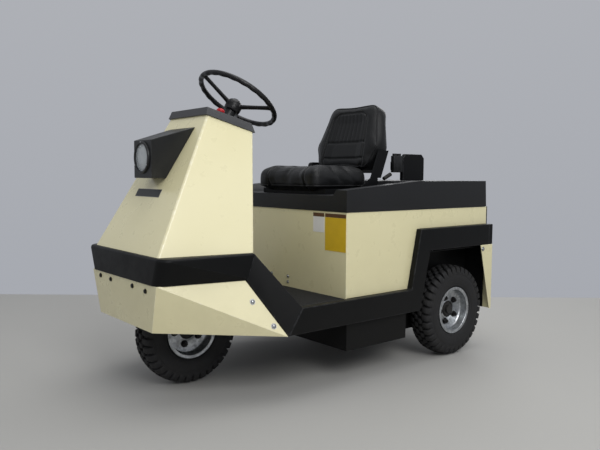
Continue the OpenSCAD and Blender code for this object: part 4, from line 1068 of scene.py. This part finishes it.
class TOWTRACTOR_OT_headlamp(bpy.types.Operator):
    """Headlamp housing, retaining ring, bulb, bowl and glass"""

    bl_idname = "tow_tractor.headlamp"
    bl_label = "Headlamp"

    # Section of the ring from the bowl's edge, and of the bulb from the axis: radius and place ahead
    RING = ((-0.0068, -0.004), (-0.0064, 0.0006), (-0.004, 0.0014), (0.0005, 0.0012), (0.0022, -0.0008),
            (0.0024, -0.0058), (-0.003, -0.0058))
    BULB = ((0.0, -0.034), (0.006, -0.034), (0.0065, -0.026), (0.0085, -0.022), (0.009, -0.016),
            (0.0075, -0.011), (0.004, -0.0085), (0.0, -0.008))
    SCREW = (16, 0.0024, 0.0008, 0.0012, 0.0028)

    def execute(self, context):
        sheet_piece("lamp_box", "chassis", "moulded_abs", [(0.004, any_edge)], 4)
        coat(NODES["lamp_reflector"].data, "metallised_reflector")
        coat(NODES["lamp_lens"].data, "pressed_glass")
        low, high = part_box("lamp_reflector")
        centre = Vector((high.x, 0, (low.z + high.z) / 2))
        radius = (high.z - low.z) / 2
        ring = turned([(radius + r, x) for r, x in self.RING], 80, centre, axis="X")
        new_piece("lamp_ring", ring, 40, "chassis", "moulded_abs")
        ahead, out = 0.0012, radius - 0.002
        screws = [(centre + Vector((ahead, out * math.cos(a), out * math.sin(a))), (1, 0, 0))
                  for a in map(math.radians, (90, 210, 330))]
        bolts("lamp_screws", "zinc_plated_steel", self.SCREW, screws, "lamp_chrome")
        bulb = turned(self.BULB, 24, centre, closed=False, axis="X")
        new_piece("lamp_bulb", bulb, 50, "chassis", "white_foil")
        return {"FINISHED"}


class TOWTRACTOR_OT_steering(bpy.types.Operator):
    """Moulded three-spoke steering wheel on its column"""

    bl_idname = "tow_tractor.steering"
    bl_label = "Steering wheel"

    GRIP_RADIUS, GRIP_THICK = 0.171, 0.0108
    WAVES, WAVE_DEPTH = 24, 0.0009
    # Grid that melts the grip, the spokes and the hub into one
    MELT_GRID = 0.0021
    SPOKE_TURNS = (-12, 116, 232)
    # Spoke from the hub to the grip: distance out, height, half width and half thickness
    SPOKE = (
        (0.018, -0.0360, 0.0130, 0.0100), (0.036, -0.0320, 0.0118, 0.0092), (0.060, -0.0268, 0.0106, 0.0086),
        (0.110, -0.0159, 0.0100, 0.0080), (0.150, -0.0072, 0.0108, 0.0082), (0.166, -0.0037, 0.0130, 0.0088))
    # Sections of the hub with its shaft and of the horn cap set in it: radius and height
    HUB = (
        (0.0, -0.0085), (0.012, -0.0092), (0.022, -0.012), (0.029, -0.017), (0.0335, -0.025), (0.035, -0.036),
        (0.0345, -0.052), (0.031, -0.0635), (0.010, -0.064), (0.010, -0.15), (0.0, -0.15))
    HORN_CAP = (
        (0.0, -0.0058), (0.010, -0.0062), (0.0175, -0.0082), (0.0200, -0.0108), (0.0200, -0.0140),
        (0.0, -0.0140))

    def execute(self, context):
        work = bmesh.new()
        # Grip with shallow finger waves under it
        rings, steps = [], 144
        for i, (c, s) in enumerate(turns(steps)):
            wave = self.WAVE_DEPTH * math.cos(self.WAVES * 2 * math.pi * i / steps)
            rings.append([])
            for flat, rise in turns(18):
                thick = self.GRIP_THICK + (wave if rise < 0 else 0.0)
                r = self.GRIP_RADIUS + thick * flat
                rings[-1].append(work.verts.new((r * c, r * s, thick * rise)))
        bridge(work, rings)
        # Spokes of flat oval section that widen at the hub and at the grip
        for a in map(math.radians, self.SPOKE_TURNS):
            along, across = Vector((math.cos(a), math.sin(a), 0)), Vector((-math.sin(a), math.cos(a), 0))
            rings = [[work.verts.new(along * r + across * wide * c + Vector((0, 0, z + thick * s)))
                      for c, s in turns(12)] for r, z, wide, thick in self.SPOKE]
            bridge(work, rings, around=False)
        turned(self.HUB, 40, Vector(), closed=False, axis="Z", work=work)
        spot, lean = place(917, 0, 1149), math.radians(33.6)
        lay = Matrix.Translation(spot) @ Matrix.Rotation(-lean, 4, "Y")
        bmesh.ops.transform(work, matrix=lay, verts=work.verts)
        piece = new_piece("steering_wheel_moulding", work, 60, "steering", "moulded_polyurethane",
                          ("steering_wheel",))
        melt = piece.modifiers.new("Melt", "REMESH")
        melt.mode, melt.voxel_size, melt.use_smooth_shade = "VOXEL", self.MELT_GRID, True
        smooth = piece.modifiers.new("Smooth", "SMOOTH")
        smooth.factor, smooth.iterations = 0.5, 4
        settle(piece)
        cap = turned(self.HORN_CAP, 40, Vector(), closed=False, axis="Z")
        bmesh.ops.transform(cap, matrix=lay, verts=cap.verts)
        new_piece("horn_cap", cap, 40, "steering", "moulded_abs")
        return {"FINISHED"}


class TOWTRACTOR_OT_dash(bpy.types.Operator):
    """Dash cap and stop button"""

    bl_idname = "tow_tractor.dash"
    bl_label = "Dash"

    # Section of a mushroom head on a neck with a foot ring: radius and height
    BUTTON = (
        (0.0, 0.0385), (0.008, 0.038), (0.0135, 0.0355), (0.0166, 0.031), (0.017, 0.027), (0.0158, 0.0235),
        (0.0125, 0.022), (0.012, 0.0205), (0.0118, 0.004), (0.0138, 0.003), (0.0138, 0.0004), (0.0, 0.0004))

    def execute(self, context):
        sheet_piece("dash_cap", "chassis", "formed_abs", [(0.005, any_edge)], 4)
        # The button stands square on the cap, which rises by so much over its length
        rise, length, spot = 60, 176, place(1055, 70, 1059.6)
        up = Vector((-rise, 0, length))
        work = turned(self.BUTTON, 40, Vector(), closed=False, axis="Z")
        lay = Matrix.Translation(spot) @ up.to_track_quat("Z", "Y").to_matrix().to_4x4()
        bmesh.ops.transform(work, matrix=lay, verts=work.verts)
        new_piece("stop_button_head", work, 40, "chassis", "moulded_red_nylon",
                  ("stop_button",))
        return {"FINISHED"}


class TOWTRACTOR_OT_plug(bpy.types.Operator):
    """Battery plug with its handle lobes and lead"""

    bl_idname = "tow_tractor.plug"
    bl_label = "Battery plug"

    # Body: how far its ends are drawn in and its top is lowered, and its edge
    END, DROP, EDGE = 0.002, 0.010, 0.004
    # Lobes: shares of the length at which they stand, and their place across
    LOBE_SHARES, LOBE_ACROSS = (0.3, 0.74), 0.011
    LOBE_RADIUS, LOBE_HEIGHT = 0.0105, 0.02
    # Ribs: how many, step, width, how far they stand out, first one's place, foot and top, and their edge
    RIBS, RIB_STEP, RIB_WIDE, RIB_OUT = 6, 0.0098, 0.004, 0.0012
    RIB_START, RIB_FOOT, RIB_TOP, RIB_EDGE = 0.011, 0.012, 0.05, 0.001

    def execute(self, context):
        low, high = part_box("battery_plug")
        work = rounded_block(
            low + Vector((self.END, 0, 0)), high - Vector((self.END, 0, self.DROP)), self.EDGE)
        meshes = [mesh_from(work, "plug_body", 40)]
        # Two round lobes on top, and grip ribs on the sides
        lobe = [(0, -self.LOBE_HEIGHT), (self.LOBE_RADIUS, -self.LOBE_HEIGHT), (self.LOBE_RADIUS, 0), (0, 0)]
        for share in self.LOBE_SHARES:
            top = Vector((low.x + share * (high.x - low.x), low.y + self.LOBE_ACROSS, high.z))
            meshes.append(mesh_from(turned(lobe, 20, top, closed=False, axis="Z"), "plug_lobe", 50))
        for i in range(self.RIBS):
            x = low.x + self.RIB_START + self.RIB_STEP * i
            work = rounded_block(
                Vector((x, low.y - self.RIB_OUT, low.z + self.RIB_FOOT)),
                Vector((x + self.RIB_WIDE, high.y + self.RIB_OUT, low.z + self.RIB_TOP)), self.RIB_EDGE, 2)
            meshes.append(mesh_from(work, "plug_rib", 40))
        new_piece("battery_plug_shell", joined(meshes), None, "battery_lid", "moulded_abs",
                  ("battery_plug",))
        coat(NODES["plug_lead"].data, "floor_rubber")
        return {"FINISHED"}


class TOWTRACTOR_OT_footwell(bpy.types.Operator):
    """Ribbed floor mat and pedal pads"""

    bl_idname = "tow_tractor.footwell"
    bl_label = "Footwell"

    def execute(self, context):
        step = settings().sizes.rib_step
        low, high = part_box("floor_mat")
        sheet_piece("floor_mat", "chassis", "floor_rubber", [(0.001, any_edge)])
        # Ribs: bare edge round them, width, and height above and below the mat's face
        edge, wide, above, below = 0.006, 0.006, 0.0016, 0.001
        rib = rounded_block(Vector((low.x + edge, low.y + edge, high.z - below)),
                            Vector((low.x + edge + wide, high.y - edge, high.z + above)), 0.0008, 2)
        row("mat_ribs", rib, "floor_rubber", "black_rubber", int((high.x - low.x - 2 * edge) / step), step)
        sheet_piece("pedals", "chassis", "floor_rubber", [(0.003, any_edge)])
        return {"FINISHED"}


class TOWTRACTOR_OT_fasteners(bpy.types.Operator):
    """Bolt heads and screws of the panels"""

    bl_idname = "tow_tractor.fasteners"
    bl_label = "Fasteners"

    def execute(self, context):
        # Ways that faces look: the front skirt's left wing, the bumper's nose, ahead and behind
        wing, nose, ahead, behind = (0.179, 0.89, 0.419), (0.999, 0, -0.046), (1, 0, 0), (-1, 0, 0)
        sides = (1, -1)
        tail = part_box("rear_skirt")[0].x
        hitch = place(-276, 0, 0).x
        for name, material, head, rows in (
            ("skirt_bolts", "zinc_plated_steel", (24, 0.0085, 0.0015, 0.0055, 0.0108),
             [(place(x, m * y, z), (wing[0], m * wing[1], wing[2])) for m in sides
              for x, y, z in ((1108.6, 378.8, 375.0), (1051.6, 431.9, 286.7))]),
            ("bumper_bolts", "black_oxide_steel", (6, 0.0072, 0.0048, 0.001, 0.0092),
             [(place(1438.1, y, z), nose)
              for y, z in ((-200, 432), (-103, 429), (89, 429), (194, 424))]),
            ("guard_bolts", "zinc_plated_steel", (6, 0.0075, 0.005, 0.001, 0.0105),
             [(place(-184, m * 460, 487), (0, m, 0)) for m in sides]
             + [((tail, y, 0.488), behind) for y in (-0.40, -0.22, 0.22, 0.40)]),
            ("hitch_bolts", "zinc_plated_steel", (6, 0.0125, 0.009, 0.001, 0.0165),
             [((hitch, y, z), behind) for y in (-0.066, 0.066) for z in (0.252, 0.384)]),
            ("panel_screws", "zinc_plated_steel", (20, 0.0055, 0.001, 0.003, 0.0075),
             [(place(691, m * 59, z), ahead) for m in sides for z in (389, 364)]),
        ):
            bolts(name, material, head, rows)
        return {"FINISHED"}


class TOWTRACTOR_OT_plates(bpy.types.Operator):
    """Blank plates on the cowl and on the front panel"""

    bl_idname = "tow_tractor.plates"
    bl_label = "Blank plates"

    # How far a plate is sunk into its panel, its edge's rounding, and how far a foil stands out
    SINK, EDGE, FOIL = 0.0002, 0.0003, 0.0008

    def execute(self, context):
        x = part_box("front_panel")[1].x
        for name, material, y0, y1, z0, z1 in (
            ("yellow_plate", "yellow_foil", 0.303, 0.427, 0.528, 0.664),
            ("yellow_plate_head", "brown_foil", 0.303, 0.427, 0.6645, 0.680),
            ("white_plate", "white_foil", 0.228, 0.297, 0.600, 0.664),
            ("white_plate_head", "brown_foil", 0.228, 0.297, 0.6645, 0.680),
        ):
            low, high = Vector((x - self.SINK, y0, z0)), Vector((x + self.FOIL, y1, z1))
            work = rounded_block(low, high, self.EDGE, 1)
            new_piece(name, work, 30, "chassis", material)
        # Nameplate under the lamp, on the cowl's raked face: that face's foot, rise and lean back, in mm
        foot_x, foot_z, rise, back = 1428, 548, 512, 275
        across, top_z = -29, 777
        top = place(foot_x - (top_z - foot_z) * back / rise, across, top_z)
        lay = Matrix.Translation(top) @ Matrix.Rotation(-math.atan(back / rise), 4, "Y")
        for name, material, half, low, high, thick in (
            ("name_plate", "dark_anodised_plate", 0.099, -0.032, 0.0, 0.0012),
            ("name_plate_edge", "zinc_plated_steel", 0.1, -0.033, 0.001, 0.0007),
        ):
            work = rounded_block(Vector((-self.SINK, -half, low)), Vector((thick, half, high)), self.EDGE, 1)
            bmesh.ops.transform(work, matrix=lay, verts=work.verts)
            new_piece(name, work, 30, "chassis", material)
        return {"FINISHED"}


class TOWTRACTOR_OT_battery(bpy.types.Operator):
    """Cell tops of the battery with their vent plugs and links"""

    bl_idname = "tow_tractor.battery"
    bl_label = "Battery cells"

    COLUMNS, ROWS = 6, 4
    EDGE, GAP = Vector((0.01, 0.01, 0)), Vector((0.003, 0.003, 0))
    # Cells sunk into the case and standing over it
    SUNK, PROUD = 0.002, 0.009
    # Section of a vent plug: radius and height
    PLUG = ((0.0, 0.021), (0.012, 0.0205), (0.016, 0.018), (0.017, 0.015), (0.017, 0.006), (0.0, 0.006))
    # Links: height of the middle, half width and half height
    LINK = (0.013, 0.012, 0.005)

    def execute(self, context):
        low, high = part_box("battery")
        room = high - low - 2 * self.EDGE
        wide, deep = room.x / self.COLUMNS, room.y / self.ROWS
        link_z, link_wide, link_high = self.LINK
        for i in range(self.ROWS):
            start = Vector((low.x, low.y + i * deep, high.z)) + self.EDGE
            mid = start + Vector((wide / 2, deep / 2, 0))
            cell = rounded_block(start + self.GAP - Vector((0, 0, self.SUNK)),
                                 start - self.GAP + Vector((wide, deep, self.PROUD)), 0.003)
            row(f"battery_cells_{i}", cell, "moulded_polypropylene", "battery_case", self.COLUMNS, wide)
            vent = turned(self.PLUG, 24, mid, closed=False, axis="Z")
            row(f"vent_plugs_{i}", vent, "moulded_vent_plug", "battery_case", self.COLUMNS, wide)
            # Links join neighbours in turn on one side and on the other
            for first, side in ((0, 1), (1, -1)):
                spot = mid + Vector(((first + 0.5) * wide, side * deep / 4, link_z))
                half = Vector((wide / 2, link_wide, link_high))
                link = rounded_block(spot - half, spot + half, 0.0025)
                row(f"cell_links_{i}_{first}", link, "cast_lead", "dark_steel", self.COLUMNS // 2 - first,
                    2 * wide)
        return {"FINISHED"}


class TOWTRACTOR_OT_gear(bpy.types.Operator):
    """Finishes of the solids that show as they are"""

    bl_idname = "tow_tractor.gear"
    bl_label = "Running gear"

    def execute(self, context):
        for material, nodes in (
            ("painted_cast_steel", ("rear_axle", "drive_motor", "tow_hitch", "steering_head", "front_fork")),
            ("black_chassis_paint", (
                "head_plate", "rear_plate", "chassis_box", "wheel_wells", "battery_tray")),
            ("moulded_abs", ("steering_column",)),
            ("moulded_polypropylene", ("battery",)),
        ):
            for node in nodes:
                coat(NODES[node].data, material)
        return {"FINISHED"}


OPERATORS = (
    TOWTRACTOR_OT_stage, TOWTRACTOR_OT_panels, TOWTRACTOR_OT_band, TOWTRACTOR_OT_lid, TOWTRACTOR_OT_seat,
    TOWTRACTOR_OT_wheels, TOWTRACTOR_OT_headlamp, TOWTRACTOR_OT_steering, TOWTRACTOR_OT_dash,
    TOWTRACTOR_OT_plug, TOWTRACTOR_OT_footwell, TOWTRACTOR_OT_fasteners, TOWTRACTOR_OT_plates,
    TOWTRACTOR_OT_battery, TOWTRACTOR_OT_gear,
)


class TOWTRACTOR_PT_panel(bpy.types.Panel):
    """Sizes, colours and pieces of the tow tractor"""

    bl_idname = "TOWTRACTOR_PT_panel"
    bl_label = "Tow tractor"
    bl_space_type = "VIEW_3D"
    bl_region_type = "UI"
    bl_category = "Tow tractor"

    def draw(self, context):
        layout = self.layout
        for group in (settings().sizes, settings().colours):
            box = layout.box()
            for name in group.__annotations__:
                box.prop(group, name)
        for operator in OPERATORS:
            layout.operator(operator.bl_idname)


CLASSES = (TowTractorSizes, TowTractorColours, TowTractorSettings) + OPERATORS + (TOWTRACTOR_PT_panel,)


def register():
    """Register the classes and the scene's settings."""
    for cls in CLASSES:
        bpy.utils.register_class(cls)
    bpy.types.Scene.tow_tractor = bpy.props.PointerProperty(type=TowTractorSettings)


def unregister():
    """Take the settings and the classes away again."""
    del bpy.types.Scene.tow_tractor
    for cls in reversed(CLASSES):
        bpy.utils.unregister_class(cls)


def main():
    """Build every piece in order."""
    register()
    for operator in OPERATORS:
        group, name = operator.bl_idname.split(".")
        getattr(getattr(bpy.ops, group), name)()


if __name__ == "__main__":
    main()
